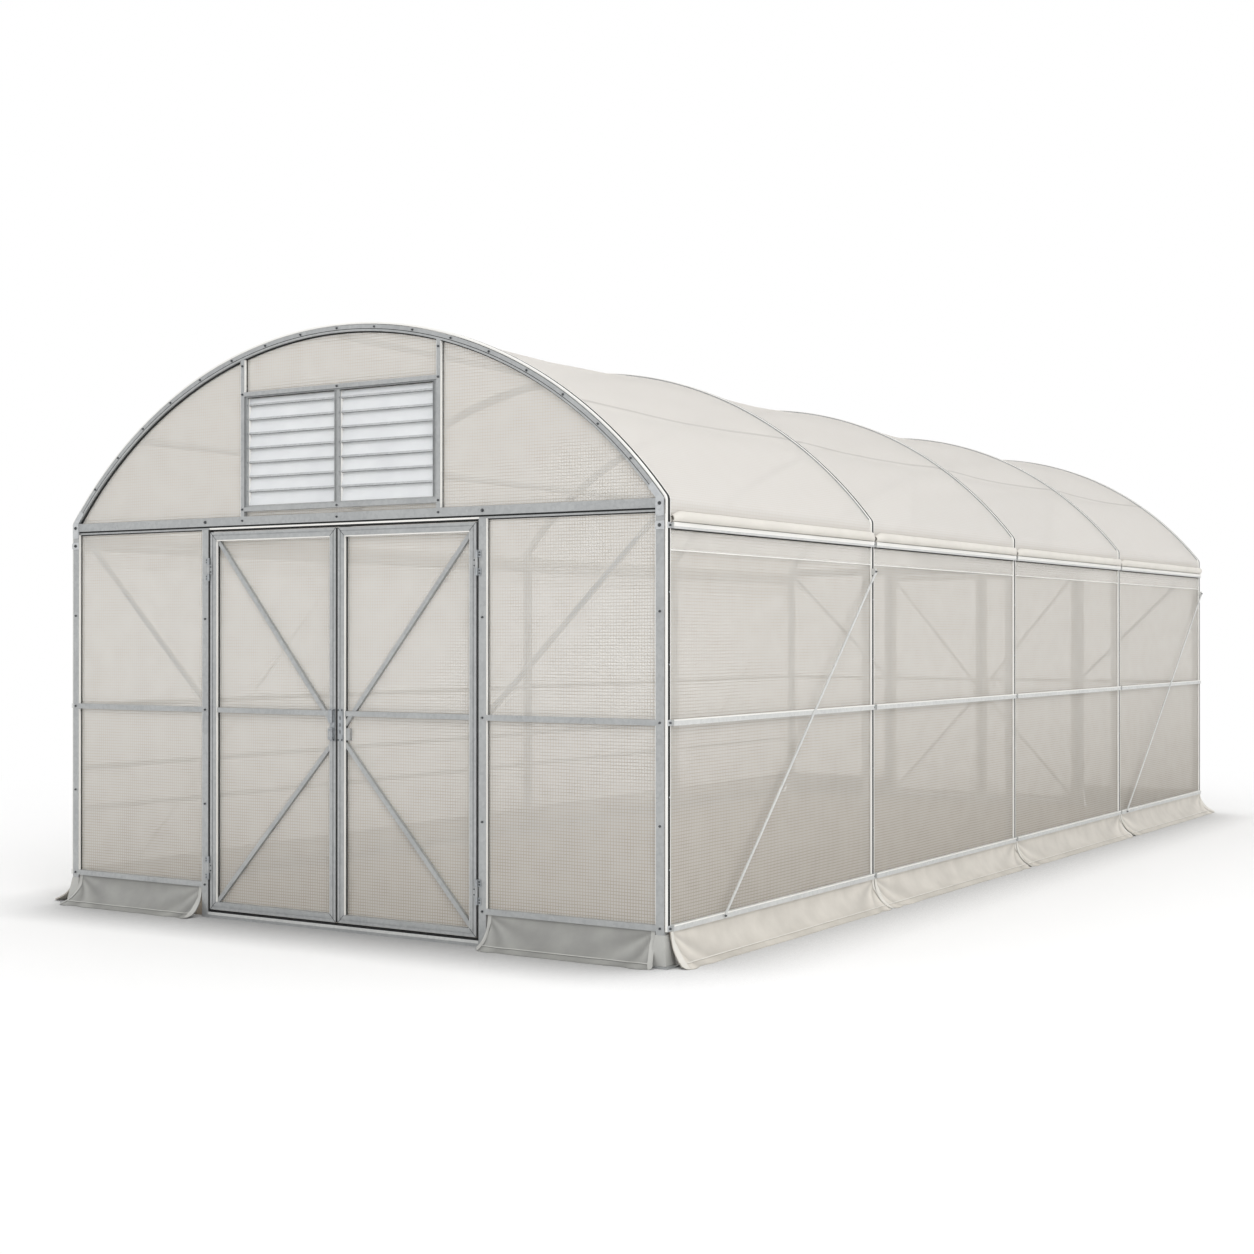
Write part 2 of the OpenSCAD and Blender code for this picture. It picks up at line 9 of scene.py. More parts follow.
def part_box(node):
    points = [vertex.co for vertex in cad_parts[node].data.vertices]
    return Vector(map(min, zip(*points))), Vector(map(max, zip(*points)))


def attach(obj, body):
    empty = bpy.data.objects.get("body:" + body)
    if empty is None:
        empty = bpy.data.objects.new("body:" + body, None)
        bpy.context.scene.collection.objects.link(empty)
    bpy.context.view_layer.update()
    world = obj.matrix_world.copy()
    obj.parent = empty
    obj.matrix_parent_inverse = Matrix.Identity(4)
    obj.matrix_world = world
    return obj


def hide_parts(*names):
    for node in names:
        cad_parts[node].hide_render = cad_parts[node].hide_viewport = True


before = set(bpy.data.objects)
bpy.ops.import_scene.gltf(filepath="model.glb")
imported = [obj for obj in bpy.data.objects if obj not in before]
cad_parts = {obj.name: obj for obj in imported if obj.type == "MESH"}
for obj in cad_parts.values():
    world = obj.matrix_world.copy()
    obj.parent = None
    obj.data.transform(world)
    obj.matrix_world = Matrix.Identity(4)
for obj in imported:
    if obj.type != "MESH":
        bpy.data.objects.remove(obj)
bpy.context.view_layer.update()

# Sizes of the frame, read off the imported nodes
post_low, post_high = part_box("right_posts")
bow_low, bow_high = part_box("front_bow")
film_low, film_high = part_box("right_wall_film")
rail_low, rail_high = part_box("right_wall_rails")

HALF_W = post_high.x
POST_IN = post_low.x
TUBE = HALF_W - POST_IN
END_FACE = -post_low.y
END_Y = END_FACE - TUBE / 2
BAYS = 4
BAY = 2 * END_Y / BAYS
HOOP_Y = [i * BAY - END_Y for i in range(BAYS + 1)]
EAVE = bow_low.z
RISE = bow_high.z - EAVE
BOW_R = (HALF_W ** 2 + RISE ** 2) / (2 * RISE)
BOW_Z = EAVE + RISE - BOW_R
BOW_D = 0.030
WALL_OUT = film_high.x
RAIL_OUT = rail_high.x
RAIL = RAIL_OUT - WALL_OUT
STRIP_HALF = film_high.y - END_Y
EAVE_RAIL = rail_high.z - RAIL / 2
BOTTOM_RAIL = rail_low.z + RAIL / 2
JAMB_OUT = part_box("front_jambs")[1].x
JAMB_IN = JAMB_OUT - TUBE
CHANNEL_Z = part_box("front_lintel")[0].z
VENT_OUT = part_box("front_vent_frame")[1].x
MID_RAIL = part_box("front_end_rails")[1].z - RAIL / 2
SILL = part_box("thresholds")[1].z
ENDS = ((-1, "front"), (1, "rear"))
SIDES = ((-1, "left"), (1, "right"))

# The line that film and strips follow over a hoop: up the wall, round a bend at the eave and over the bow
EAVE_BEND = 0.03
BEND_X = HALF_W - EAVE_BEND
BEND_Z = BOW_Z + math.sqrt((BOW_R - EAVE_BEND) ** 2 - BEND_X ** 2)
ARCH = math.asin(BEND_X / (BOW_R - EAVE_BEND))
BEND = math.pi / 2 - ARCH

# Roof film: its thickness, sag, seat on the hoops, the purlins under it and the roll at its foot
FILM_T = 0.002
SAG = 0.028
SEAT = 0.0245
FILM_OUT = 0.0018 + FILM_T / 2
PURLIN = math.radians(36)
ROLL_R = 0.0245
ROLL_X = WALL_OUT + 0.0253
ROLL_Z = EAVE_RAIL + RAIL / 2 + 0.0253
ARCH_CUT = ARCH * (BOW_R + FILM_OUT)
BEND_CUT = BEND * (EAVE_BEND + FILM_OUT)
ROOF_CUT = ARCH_CUT + BEND_CUT + BEND_Z - ROLL_Z - 0.010


# Materials. Zinc crystals and threads are drawn a little wider than they are, so that they show

CRYSTAL = 0.014
THREAD_GAP = 0.014
THREAD_WANDER = 0.006


def rgb(text):
    """Linear colour of an sRGB hex value."""
    parts = [int(text[i:i + 2], 16) / 255 for i in (1, 3, 5)]
    return [c / 12.92 if c <= 0.04045 else ((c + 0.055) / 1.055) ** 2.4 for c in parts] + [1]


def node(tree, kind, settings=None, **inputs):
    """Adds a node. Settings are its properties; inputs are sockets by name or as i0, i1: values or links."""
    made = tree.nodes.new("ShaderNode" + kind)
    for key, value in (settings or {}).items():
        setattr(made, key, value)
    for key, value in inputs.items():
        socket = made.inputs[int(key[1:])] if key[1:].isdigit() else made.inputs[key.replace("_", " ")]
        if isinstance(value, bpy.types.NodeSocket):
            tree.links.new(value, socket)
        else:
            socket.default_value = value
    return made


def new_material(name):
    """An empty material: its tree and its output's surface socket."""
    material = bpy.data.materials.new(name)
    material.use_nodes = True
    material.node_tree.nodes.clear()
    out = node(material.node_tree, "OutputMaterial")
    return material, material.node_tree, out.inputs["Surface"]


def galvanised(name, dark, light, rough, metallic):
    """Hot-dip galvanised steel: zinc crystals of about 9 mm, drawn 14 mm wide, give a dull grey mottle."""
    material, tree, surface = new_material(name)
    place = node(tree, "TexCoord").outputs["Object"]
    crystals = node(tree, "TexVoronoi", Vector=place, Scale=1 / CRYSTAL, Randomness=1.0)
    cloud = node(tree, "TexNoise", Vector=place, Scale=1 / 0.25, Detail=4.0)
    value = node(tree, "Math", {"operation": "MULTIPLY_ADD"}, i0=crystals.outputs["Color"], i1=0.5,
                 i2=cloud.outputs["Fac"])
    tone = node(tree, "MapRange", Value=value.outputs[0], i1=0.35, i2=1.05)
    colour = node(tree, "Mix", {"data_type": "RGBA"}, i0=tone.outputs[0], i6=rgb(dark), i7=rgb(light))
    gloss = node(tree, "MapRange", Value=value.outputs[0], i1=0.35, i2=1.05, i3=rough + 0.08, i4=rough - 0.06)
    grain = node(tree, "TexNoise", Vector=place, Scale=1 / 0.004, Detail=3.0)
    bump = node(tree, "Bump", Height=grain.outputs["Fac"], Strength=0.15, Distance=0.0006)
    shader = node(tree, "BsdfPrincipled", Base_Color=colour.outputs[2], Metallic=metallic,
                  Roughness=gloss.outputs[0], Normal=bump.outputs[0])
    tree.links.new(shader.outputs[0], surface)
    return material


def one_face(cover):
    """Share of light that each of a sheet's two faces stops, so that together they stop the cover given."""
    return 1 - math.sqrt(1 - cover)


def film(name, clear, thread, clear_cover, thread_cover, show, glow, low_dark, purlin_shade=None):
    """Woven reinforced polythene film: threads under a thin clear skin, so a fine grid and soft gloss.

    The threads are about 12 mm apart, drawn 14 mm apart. A cover is the share of light that the sheet stops,
    in its cells or at its threads; show is how clear the grid is, glow is light let through, and the number
    after glow is how far the sheet turns darker and more opaque towards the ground. The last argument is a
    middle and a reach along the cut, in metres: on each side of the middle, a line at that reach, along the
    roof's purlins, is darkened as painted shade.
    """
    material, tree, surface = new_material(name)
    flat = node(tree, "TexCoord").outputs["UV"]
    drift = node(tree, "TexNoise", Vector=flat, Scale=3.0, Detail=2.0)
    wander = node(tree, "VectorMath", {"operation": "MULTIPLY_ADD"}, i0=drift.outputs["Color"],
                  i1=(THREAD_WANDER, THREAD_WANDER, 0), i2=flat)
    cells = node(tree, "VectorMath", {"operation": "SCALE"}, i0=wander.outputs[0], Scale=1 / THREAD_GAP)
    axes = node(tree, "SeparateXYZ", Vector=cells.outputs[0])
    lines = []
    for axis in "XY":
        fold = node(tree, "Math", {"operation": "PINGPONG"}, i0=axes.outputs[axis], i1=0.5)
        lines.append(node(tree, "MapRange", Value=fold.outputs[0], i1=0.08, i2=0.17, i3=1.0, i4=0.0))
    weave = node(tree, "Math", {"operation": "MAXIMUM"}, i0=lines[0].outputs[0], i1=lines[1].outputs[0])
    uneven = node(tree, "TexNoise", Vector=flat, Scale=9.0, Detail=5.0)
    strength = node(tree, "MapRange", Value=uneven.outputs["Fac"], i1=0.3, i2=0.7, i3=0.8 * show, i4=show)
    threads = node(tree, "Math", {"operation": "MULTIPLY"}, i0=weave.outputs[0], i1=strength.outputs[0])
    woven = node(tree, "Mix", {"data_type": "RGBA"}, i0=threads.outputs[0], i6=rgb(clear), i7=rgb(thread))
    # Towards the ground the sheet turns darker, to a taupe weave, and more opaque, in patches
    spot = node(tree, "SeparateXYZ", Vector=node(tree, "TexCoord").outputs["Object"])
    low = node(tree, "MapRange", Value=spot.outputs["Z"], i1=1.15, i2=0.15, i3=0.0, i4=low_dark)
    low_patches = node(tree, "TexNoise", Vector=flat, Scale=2.2, Detail=6.0)
    patchy = node(tree, "MapRange", Value=low_patches.outputs["Fac"], i1=0.3, i2=0.7, i3=0.9, i4=1.0)
    low_mask = node(tree, "Math", {"operation": "MULTIPLY"}, i0=low.outputs[0], i1=patchy.outputs[0])
    low_weave_tone = node(tree, "Mix", {"data_type": "RGBA"}, i0=threads.outputs[0], i6=rgb("#dcd6cb"),
                  i7=rgb("#857c6f"))
    colour = node(tree, "Mix", {"data_type": "RGBA"}, i0=low_mask.outputs[0], i6=woven.outputs[2],
                  i7=low_weave_tone.outputs[2]).outputs[2]
    # Painted shade: the colour is darkened in a line on each side of the middle of the cut, along the purlins
    if purlin_shade:
        along = node(tree, "SeparateXYZ", Vector=flat)
        side = node(tree, "Math", {"operation": "SUBTRACT"}, i0=along.outputs["X"], i1=purlin_shade[0])
        far = node(tree, "Math", {"operation": "ABSOLUTE"}, i0=side.outputs[0])
        off = node(tree, "Math", {"operation": "SUBTRACT"}, i0=far.outputs[0], i1=purlin_shade[1])
        gap = node(tree, "Math", {"operation": "ABSOLUTE"}, i0=off.outputs[0])
        purlin_shade_tone = node(tree, "MapRange", Value=gap.outputs[0], i1=0.005, i2=0.014, i3=0.85, i4=1.0)
        scaled = node(tree, "VectorMath", {"operation": "SCALE"}, i0=colour, Scale=purlin_shade_tone.outputs[0])
        colour = scaled.outputs[0]
    alpha = node(tree, "MapRange", Value=threads.outputs[0], i3=one_face(clear_cover),
                 i4=one_face(thread_cover))
    low_cover = node(tree, "Math", {"operation": "MULTIPLY"}, i0=low_mask.outputs[0], i1=0.2)
    cover = node(tree, "Mix", i0=low_cover.outputs[0], i2=alpha.outputs[0], i3=1.0)
    gloss = node(tree, "MapRange", Value=uneven.outputs["Fac"], i3=0.5, i4=0.7)
    bump = node(tree, "Bump", Height=weave.outputs[0], Strength=0.25, Distance=0.0008)
    front = node(tree, "BsdfPrincipled", Base_Color=colour, Roughness=gloss.outputs[0], IOR=1.45,
                 Specular_IOR_Level=0.25, Normal=bump.outputs[0])
    back = node(tree, "BsdfTranslucent", Color=colour)
    skin = node(tree, "MixShader", i0=glow, i1=front.outputs[0], i2=back.outputs[0])
    open_cell = node(tree, "BsdfTransparent", Color=rgb("#ffffff"))
    shader = node(tree, "MixShader", i0=cover.outputs[0], i1=open_cell.outputs[0], i2=skin.outputs[0])
    tree.links.new(shader.outputs[0], surface)
    return material


def plain_surface(name, dark, light, patch, rough, bump_size, bump_depth, glow=0.0, folds=0.0):
    """A moulded, coated or painted surface: slow patches of tone over a fine grain.

    Glow is light let through; the last argument is how far the sheet's fold_shade lightens ridges and darkens
    the hollows between them: painted highlight and painted shade.
    """
    material, tree, surface = new_material(name)
    place = node(tree, "TexCoord").outputs["Object"]
    cloud = node(tree, "TexNoise", Vector=place, Scale=1 / patch, Detail=4.0)
    tone = node(tree, "MapRange", Value=cloud.outputs["Fac"], i1=0.3, i2=0.7)
    colour = node(tree, "Mix", {"data_type": "RGBA"}, i0=tone.outputs[0], i6=rgb(dark),
                  i7=rgb(light)).outputs[2]
    # Painted highlight and painted shade of the folds, scaled by the sheet's fold_shade
    if folds:
        fold = node(tree, "Attribute", {"attribute_name": "fold_shade"})
        shade = node(tree, "MapRange", Value=fold.outputs["Fac"], i1=-1.0, i2=1.0, i3=1 - folds, i4=1 + folds)
        scaled = node(tree, "VectorMath", {"operation": "SCALE"}, i0=colour, Scale=shade.outputs[0])
        colour = scaled.outputs[0]
    grain = node(tree, "TexNoise", Vector=place, Scale=1 / bump_size, Detail=3.0)
    gloss = node(tree, "MapRange", Value=grain.outputs["Fac"], i3=rough - 0.07, i4=rough + 0.07)
    bump = node(tree, "Bump", Height=grain.outputs["Fac"], Strength=0.3, Distance=bump_depth)
    shader = node(tree, "BsdfPrincipled", Base_Color=colour, Roughness=gloss.outputs[0],
                  Normal=bump.outputs[0])
    if glow:
        back = node(tree, "BsdfTranslucent", Color=colour)
        shader = node(tree, "MixShader", i0=glow, i1=shader.outputs[0], i2=back.outputs[0])
    tree.links.new(shader.outputs[0], surface)
    return material


STEEL = galvanised("galvanised_steel_tube", "#9fa1a2", "#b0b2b2", 0.45, 0.5)
ZINC = galvanised("zinc_plated_fittings", "#8b8f92", "#abafb2", 0.38, 0.6)
SLEEVE = galvanised("galvanised_sheet_bright", "#b4b7b9", "#c9cbcc", 0.42, 0.5)
# A paler copy of the tube steel, for wall rails, braces, inner rails, purlins and the threshold nosing:
# painted light, as on steel that faces the light
RAIL_STEEL_PAINTED_LIGHT = galvanised("galvanised_rail_painted_light", "#c3c4c3", "#d3d4d2", 0.5, 0.3)
# Roof film, with painted shade in lines along the purlins
ROOF_FILM = film("roof_film_woven", "#fffdfa", "#e6e2dc", 0.88, 0.95, 1.0, 0.3, 0.0,
                 purlin_shade=(ROOF_CUT, PURLIN * (BOW_R + FILM_OUT)))
WALL_FILM = film("wall_film_woven", "#fffdf9", "#c0b9ae", 0.62, 0.89, 1.0, 0.15, 0.65)
END_FILM = film("end_film_woven", "#fffefb", "#c2bbb0", 0.62, 0.89, 1.0, 0.12, 0.48)
HEM_FILM = film("wall_film_hem", "#fffefb", "#ebe7e0", 0.35, 0.50, 0.7, 0.15, 0.0)
# Extruded white PVC strip: smooth, with a soft shine. The same white paints highlights:
# strips on the uprights and in the door leaves, lines on the rails and on the lintel channel's lip
CLAMP_AND_HIGHLIGHT = plain_surface("clamp_strip_white_pvc_and_painted_highlight", "#e6e5e1", "#f0efeb", 0.3, 0.55, 0.02, 0.0003)
# Calendered cream PVC: heavy, dull, faintly mottled;
# its folds carry painted highlight on their ridges and painted shade in their hollows
SKIRT = plain_surface("skirt_cream_pvc", "#c3beb5", "#d1ccc3", 0.12, 0.5, 0.006, 0.0008, folds=0.16)
# Welded PVC tape along the skirts' edges, a shade paler than the skirt that it is on
TAPE_PVC = plain_surface("skirt_tape_pvc", "#d4d1ca", "#dfdcd5", 0.1, 0.5, 0.006, 0.0005)
# The end skirts' tape is darker than the side skirts' tape as painted shade; the corner boots share it
END_TAPE_SHADED = plain_surface("end_skirt_tape_pvc_painted_shade", "#adada9", "#b9b9b5", 0.1, 0.5, 0.006, 0.0005)
# Film wound in many layers: cream and nearly opaque
ROLLED = plain_surface("rolled_film_cream", "#d7d3cb", "#dfdbd3", 0.15, 0.5, 0.012, 0.0012)
# The end skirts are a cooler, greyer PVC, also darker than the side skirts as painted shade;
# their folds carry painted highlight and painted shade as on the side skirts
END_SKIRT_SHADED = plain_surface("end_skirt_grey_pvc_painted_shade", "#8b8b88", "#999995", 0.12, 0.5, 0.006, 0.0008, folds=0.2)
# Opal polycarbonate slats: pale, smooth, lit through
SLAT = plain_surface("louvre_opal_sheet", "#eff1f3", "#f8fafb", 0.2, 0.35, 0.02, 0.0003, 0.35)
# Woven polypropylene ground cover, dusty
GROUND = plain_surface("ground_cover_taupe", "#948a7e", "#aaa094", 0.4, 0.8, 0.01, 0.002)
# Black rubber extrusion: dull and dark. Its black also paints the shade in the door gaps
# and the shadow under the eave rails
RUBBER_AND_SHADOW = plain_surface("door_seal_rubber_and_painted_shadow", "#141414", "#1e1e1e", 0.1, 0.7, 0.004, 0.0003)
# Black rubber of the clamp strips' inserts: dull, a little worn. The same black paints shadow strips:
# at the film's edges, in the end bows, under the louvre lips and in the door openings
INSERT_AND_SHADOW = plain_surface("strip_insert_rubber_and_painted_shadow", "#151616", "#202121", 0.1, 0.7, 0.004, 0.0003)
# Zinc of bolt heads, gone dull and dark in the weather
BOLT = galvanised("bolt_steel_dulled", "#4a4c4e", "#66696b", 0.4, 0.7)

NODE_FINISH = {
    "galvanised_steel": STEEL, "zinc_fittings": ZINC, "clamp_strip": CLAMP_AND_HIGHLIGHT, "louvre_plastic": SLAT,
    "roof_film": ROOF_FILM, "wall_film": WALL_FILM, "skirt_film": SKIRT, "ground_fabric": GROUND,
}
OWN_FINISH = {
    "eave_joint_plates": SLEEVE, "left_wall_rails": RAIL_STEEL_PAINTED_LIGHT, "right_wall_rails": RAIL_STEEL_PAINTED_LIGHT,
    "wall_braces": RAIL_STEEL_PAINTED_LIGHT, "left_inner_rails": RAIL_STEEL_PAINTED_LIGHT, "purlins": RAIL_STEEL_PAINTED_LIGHT,
}
for name, cad_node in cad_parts.items():
    slots = cad_node.data.materials
    finish = OWN_FINISH.get(name) or NODE_FINISH[slots[0].name]
    slots.clear()
    slots.append(finish)


# Modelling

def only(piece):
    """Makes a piece the one that is selected and active."""
    bpy.ops.object.select_all(action="DESELECT")
    piece.select_set(True)
    bpy.context.view_layer.objects.active = piece


def modify(piece, kind, **settings):
    """Adds a modifier and applies it."""
    only(piece)
    bpy.ops.object.modifier_add(type=kind)
    modifier = piece.modifiers[-1]
    for key, value in settings.items():
        setattr(modifier, key, value)
    bpy.ops.object.modifier_apply(modifier=modifier.name)


def finished(piece, name, material, body):
    """Names a piece, gives it its finish and the body that it rides on."""
    piece.name = piece.data.name = name
    piece.data.materials.clear()
    piece.data.materials.append(material)
    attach(piece, body)
    return piece


def sheet_mesh(columns, rows, place, flat, thick):
    """A sheet from a grid: place(u, v) is its shape for u and v from 0 to 1, its UVs are metres of cut."""
    bpy.ops.object.select_all(action="DESELECT")
    bpy.ops.mesh.primitive_grid_add(x_subdivisions=columns, y_subdivisions=rows, size=1)
    piece = bpy.context.object
    for vertex in piece.data.vertices:
        vertex.co = place(vertex.co.x + 0.5, vertex.co.y + 0.5)
    for corner in piece.data.uv_layers.active.data:
        corner.uv = (corner.uv[0] * flat[0], corner.uv[1] * flat[1])
    bpy.ops.object.mode_set(mode="EDIT")
    bpy.ops.mesh.select_all(action="SELECT")
    bpy.ops.mesh.normals_make_consistent(inside=False)
    bpy.ops.object.mode_set(mode="OBJECT")
    modify(piece, "SOLIDIFY", thickness=thick, offset=0)
    bpy.ops.object.shade_smooth_by_angle(angle=math.radians(40))
    return piece


def shade_folds(piece, height):
    """Writes fold_shade, the height of the folds from -1 to 1, at each corner's place on the flat cut."""
    values = piece.data.attributes.new("fold_shade", "FLOAT", "CORNER").data
    for corner, value in zip(piece.data.uv_layers.active.data, values):
        value.value = height(corner.uv[0], corner.uv[1])


def joined(pieces):
    """Joins pieces into one."""
    bpy.ops.object.select_all(action="DESELECT")
    for piece in pieces:
        piece.select_set(True)
    bpy.context.view_layer.objects.active = pieces[0]
    bpy.ops.object.join()
    return bpy.context.object


def pick(piece, wanted):
    """Goes to edit mode with the faces selected whose centre and normal are wanted."""
    only(piece)
    bpy.context.tool_settings.mesh_select_mode = (False, False, True)
    bpy.ops.object.mode_set(mode="EDIT")
    bpy.ops.mesh.select_all(action="DESELECT")
    bpy.ops.object.mode_set(mode="OBJECT")
    for face in piece.data.polygons:
        face.select = wanted(face.center, face.normal)
    bpy.ops.object.mode_set(mode="EDIT")


def is_top(centre, normal):
    """Whether a face looks up."""
    return normal.z > 0.9


def raise_inner(inset, height):
    """Insets the selected face and lifts or sinks what is inside."""
    bpy.ops.mesh.inset(thickness=inset)
    bpy.ops.transform.translate(value=(0, 0, height))


def round_bar(vertices, radius, depth, **place):
    """A cylinder to shape, with its place and turn in its mesh."""
    bpy.ops.object.select_all(action="DESELECT")
    bpy.ops.mesh.primitive_cylinder_add(vertices=vertices, radius=radius, depth=depth, **place)
    bpy.ops.object.transform_apply()
    return bpy.context.object


def section_face(points):
    """A flat face with its corners on the points given, left in edit mode to be drawn along a line."""
    bpy.ops.object.select_all(action="DESELECT")
    bpy.ops.mesh.primitive_circle_add(vertices=len(points), fill_type="NGON")
    piece = bpy.context.object
    for vertex, point in zip(piece.data.vertices, points):
        vertex.co = point
    bpy.ops.object.mode_set(mode="EDIT")
    bpy.ops.mesh.select_all(action="SELECT")
    return piece


def close_section():
    """Turns the faces of a drawn section outwards and leaves edit mode."""
    bpy.ops.mesh.select_all(action="SELECT")
    bpy.ops.mesh.normals_make_consistent(inside=False)
    bpy.ops.object.mode_set(mode="OBJECT")
    bpy.ops.object.shade_smooth_by_angle(angle=math.radians(30))


def soft_bar(low, high, edge):
    """A bar between two corners with its edges rounded."""
    middle = [(a + b) / 2 for a, b in zip(low, high)]
    size = [abs(b - a) for a, b in zip(low, high)]
    bpy.ops.object.select_all(action="DESELECT")
    bpy.ops.mesh.primitive_cube_add(size=1, location=middle, scale=size)
    bpy.ops.object.transform_apply()
    bpy.ops.object.mode_set(mode="EDIT")
    bpy.ops.mesh.select_all(action="SELECT")
    bpy.ops.mesh.bevel(offset=edge, segments=2, affect="EDGES")
    bpy.ops.object.mode_set(mode="OBJECT")
    return bpy.context.object


def copied(master, place):
    """A copy of a piece with its own mesh, moved by a matrix."""
    copy = master.copy()
    copy.data = master.data.copy()
    copy.data.transform(place)
    bpy.context.collection.objects.link(copy)
    return copy


def fasten(master, spots, name, material=BOLT, body="frame"):
    """Copies of a fastener on points with the directions that they face, joined into one piece."""
    up = Vector((0, 0, 1))
    copies = []
    for point, facing in spots:
        turn = up.rotation_difference(Vector(facing)).to_matrix().to_4x4()
        copies.append(copied(master, Matrix.Translation(point) @ turn))
    return finished(joined(copies), name, material, body)


def bars(corners, edge, name, material, body="frame"):
    """Rounded bars joined into one piece."""
    return finished(joined([soft_bar(low, high, edge) for low, high in corners]), name, material, body)


def end_bar(end, x, deep, z):
    """Corners of a bar at an end wall, each from a pair: across, in from the posts' outer face, and up."""
    return [(x[i], end * (END_FACE - deep[i]), z[i]) for i in (0, 1)]


def side_bar(side, x, y, z):
    """Corners of a bar at a side wall, each from a pair: out from the middle, along and up."""
    return [(side * x[i], y[i], z[i]) for i in (0, 1)]


def drawn_in(pair, by):
    """A low and a high value, each moved in by a distance."""
    return pair[0] + by, pair[1] - by


def wave(x, y, seed):
    """Smooth random height between about -1 and 1."""
    return noise.noise(Vector((x, y, seed * 7.31)))


# Roof film: one sheet a bay, sagging between the hoops, turned down over the eave to the roll above the rail

def hoop_point(path, out):
    """Across and up, at a distance from the ridge along the film's line and a height over it."""
    far = abs(path)
    if far <= ARCH_CUT:
        turn = far / (BOW_R + FILM_OUT)
        x, z = (BOW_R + out) * math.sin(turn), BOW_Z + (BOW_R + out) * math.cos(turn)
    elif far <= ARCH_CUT + BEND_CUT:
        turn = ARCH + (far - ARCH_CUT) / (EAVE_BEND + FILM_OUT)
        x, z = BEND_X + (EAVE_BEND + out) * math.sin(turn), BEND_Z + (EAVE_BEND + out) * math.cos(turn)
    else:
        x, z = HALF_W + out, BEND_Z - (far - ARCH_CUT - BEND_CUT)
    return math.copysign(x, path), z


def roof_place(bay):
    """Shape and flat size of a bay's roof sheet: sag, puckers at the hoops, ridges at the purlins."""
    y0 = HOOP_Y[bay] - (STRIP_HALF if bay == 0 else 0)
    y1 = HOOP_Y[bay + 1] + (STRIP_HALF if bay == BAYS - 1 else 0)
    middle = (HOOP_Y[bay] + HOOP_Y[bay + 1]) / 2

    def place(u, v):
        y = y0 + (y1 - y0) * v
        path = ROOF_CUT * (2 * u - 1)
        angle = path / (BOW_R + FILM_OUT)
        along = min(1, 2 * abs(y - middle) / (BAY - 2 * SEAT))
        free = 1 - along * along
        edge = max(0, 1 - abs(angle) / ARCH)
        hang = SAG * free * (1 - (1 - edge) ** 4)
        purlin = 0.009 * math.exp(-((abs(angle) - PURLIN) * BOW_R / 0.015) ** 2)
        pucker = 0.004 * math.sin(angle * 55 + bay) * math.exp(-(1 - along) / 0.10)
        ripple = 0.004 * wave(angle * 4.2, y * 1.6, bay) + 0.0025 * wave(angle * 11, y * 3.0, bay + 9)
        out = FILM_OUT - hang + min(1, 6 * free) * min(1, 9 * edge) * (purlin + pucker + ripple)
        drop = min(1, max(0, (abs(path) - ARCH_CUT) / BEND_CUT))
        x, z = hoop_point(path, out + 0.0016 * drop)
        return Vector((x, y, z))
    return place, (2 * ROOF_CUT, y1 - y0)


for bay in range(BAYS):
    shape, flat = roof_place(bay)
    sheet = sheet_mesh(224, 72, shape, flat, FILM_T)
    finished(sheet, f"roof_sheet_{bay + 1}", ROOF_FILM, "frame")
    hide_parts(f"roof_film_{bay + 1}")


# Side wall film, held at the hoops and by the rails outside it

WALL_BOTTOM = film_low.z
WALL_TOP = BEND_Z - 0.02
WALL_BEHIND = 0.0015
WALL_X = HALF_W + WALL_BEHIND


def wall_place(side):
    """Shape and flat size of a side wall's sheet, which swells a little between hoops and rails."""
    length = film_high.y - film_low.y
    height = WALL_TOP - WALL_BOTTOM

    def place(u, v):
        y = film_low.y + length * u
        z = WALL_BOTTOM + height * v
        bay_at = abs(((y + END_Y) / BAY) % 1 - 0.5) * 2
        held_y = max(0, 1 - bay_at ** 10)
        rails = min(abs(z - r) for r in (EAVE_RAIL, MID_RAIL, BOTTOM_RAIL))
        held_z = min(1, rails / 0.12)
        swell = 0.005 * wave(y * 1.3, z * 2.2, side + 3) + 0.0025 * wave(y * 3.5, z * 5, side + 5)
        x = WALL_X + held_y * held_z * (swell - 0.002)
        return Vector((side * x, y, z))
    return place, (length, height)


for side, word in SIDES:
    shape, flat = wall_place(side)
    sheet = sheet_mesh(208, 48, shape, flat, FILM_T)
    finished(sheet, f"{word}_wall_sheet", WALL_FILM, "frame")
    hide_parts(f"{word}_wall_film")


# End wall film: a panel on each side of the doors and four pieces round the vent

SEAT_R = BOW_R - BOW_D - 0.0003
END_FILM_Y = END_Y - WALL_BEHIND


def arch_z(x):
    """Height of the bow's underside."""
    return BOW_Z + math.sqrt(SEAT_R ** 2 - x * x)


def end_place(end, x0, x1, low, high, seed):
    """A flat panel from x0 to x1 between the heights low(x) and high(x), a little slack in its middle."""
    def place(u, v):
        x = x0 + (x1 - x0) * u
        z = low(x) + (high(x) - low(x)) * v
        slack = min(1, 8 * min(u, 1 - u, v, 1 - v))
        swell = slack * 0.004 * wave(x * 2.0, z * 2.0, seed)
        return Vector((x, end * (END_FILM_Y + swell), z))
    return place


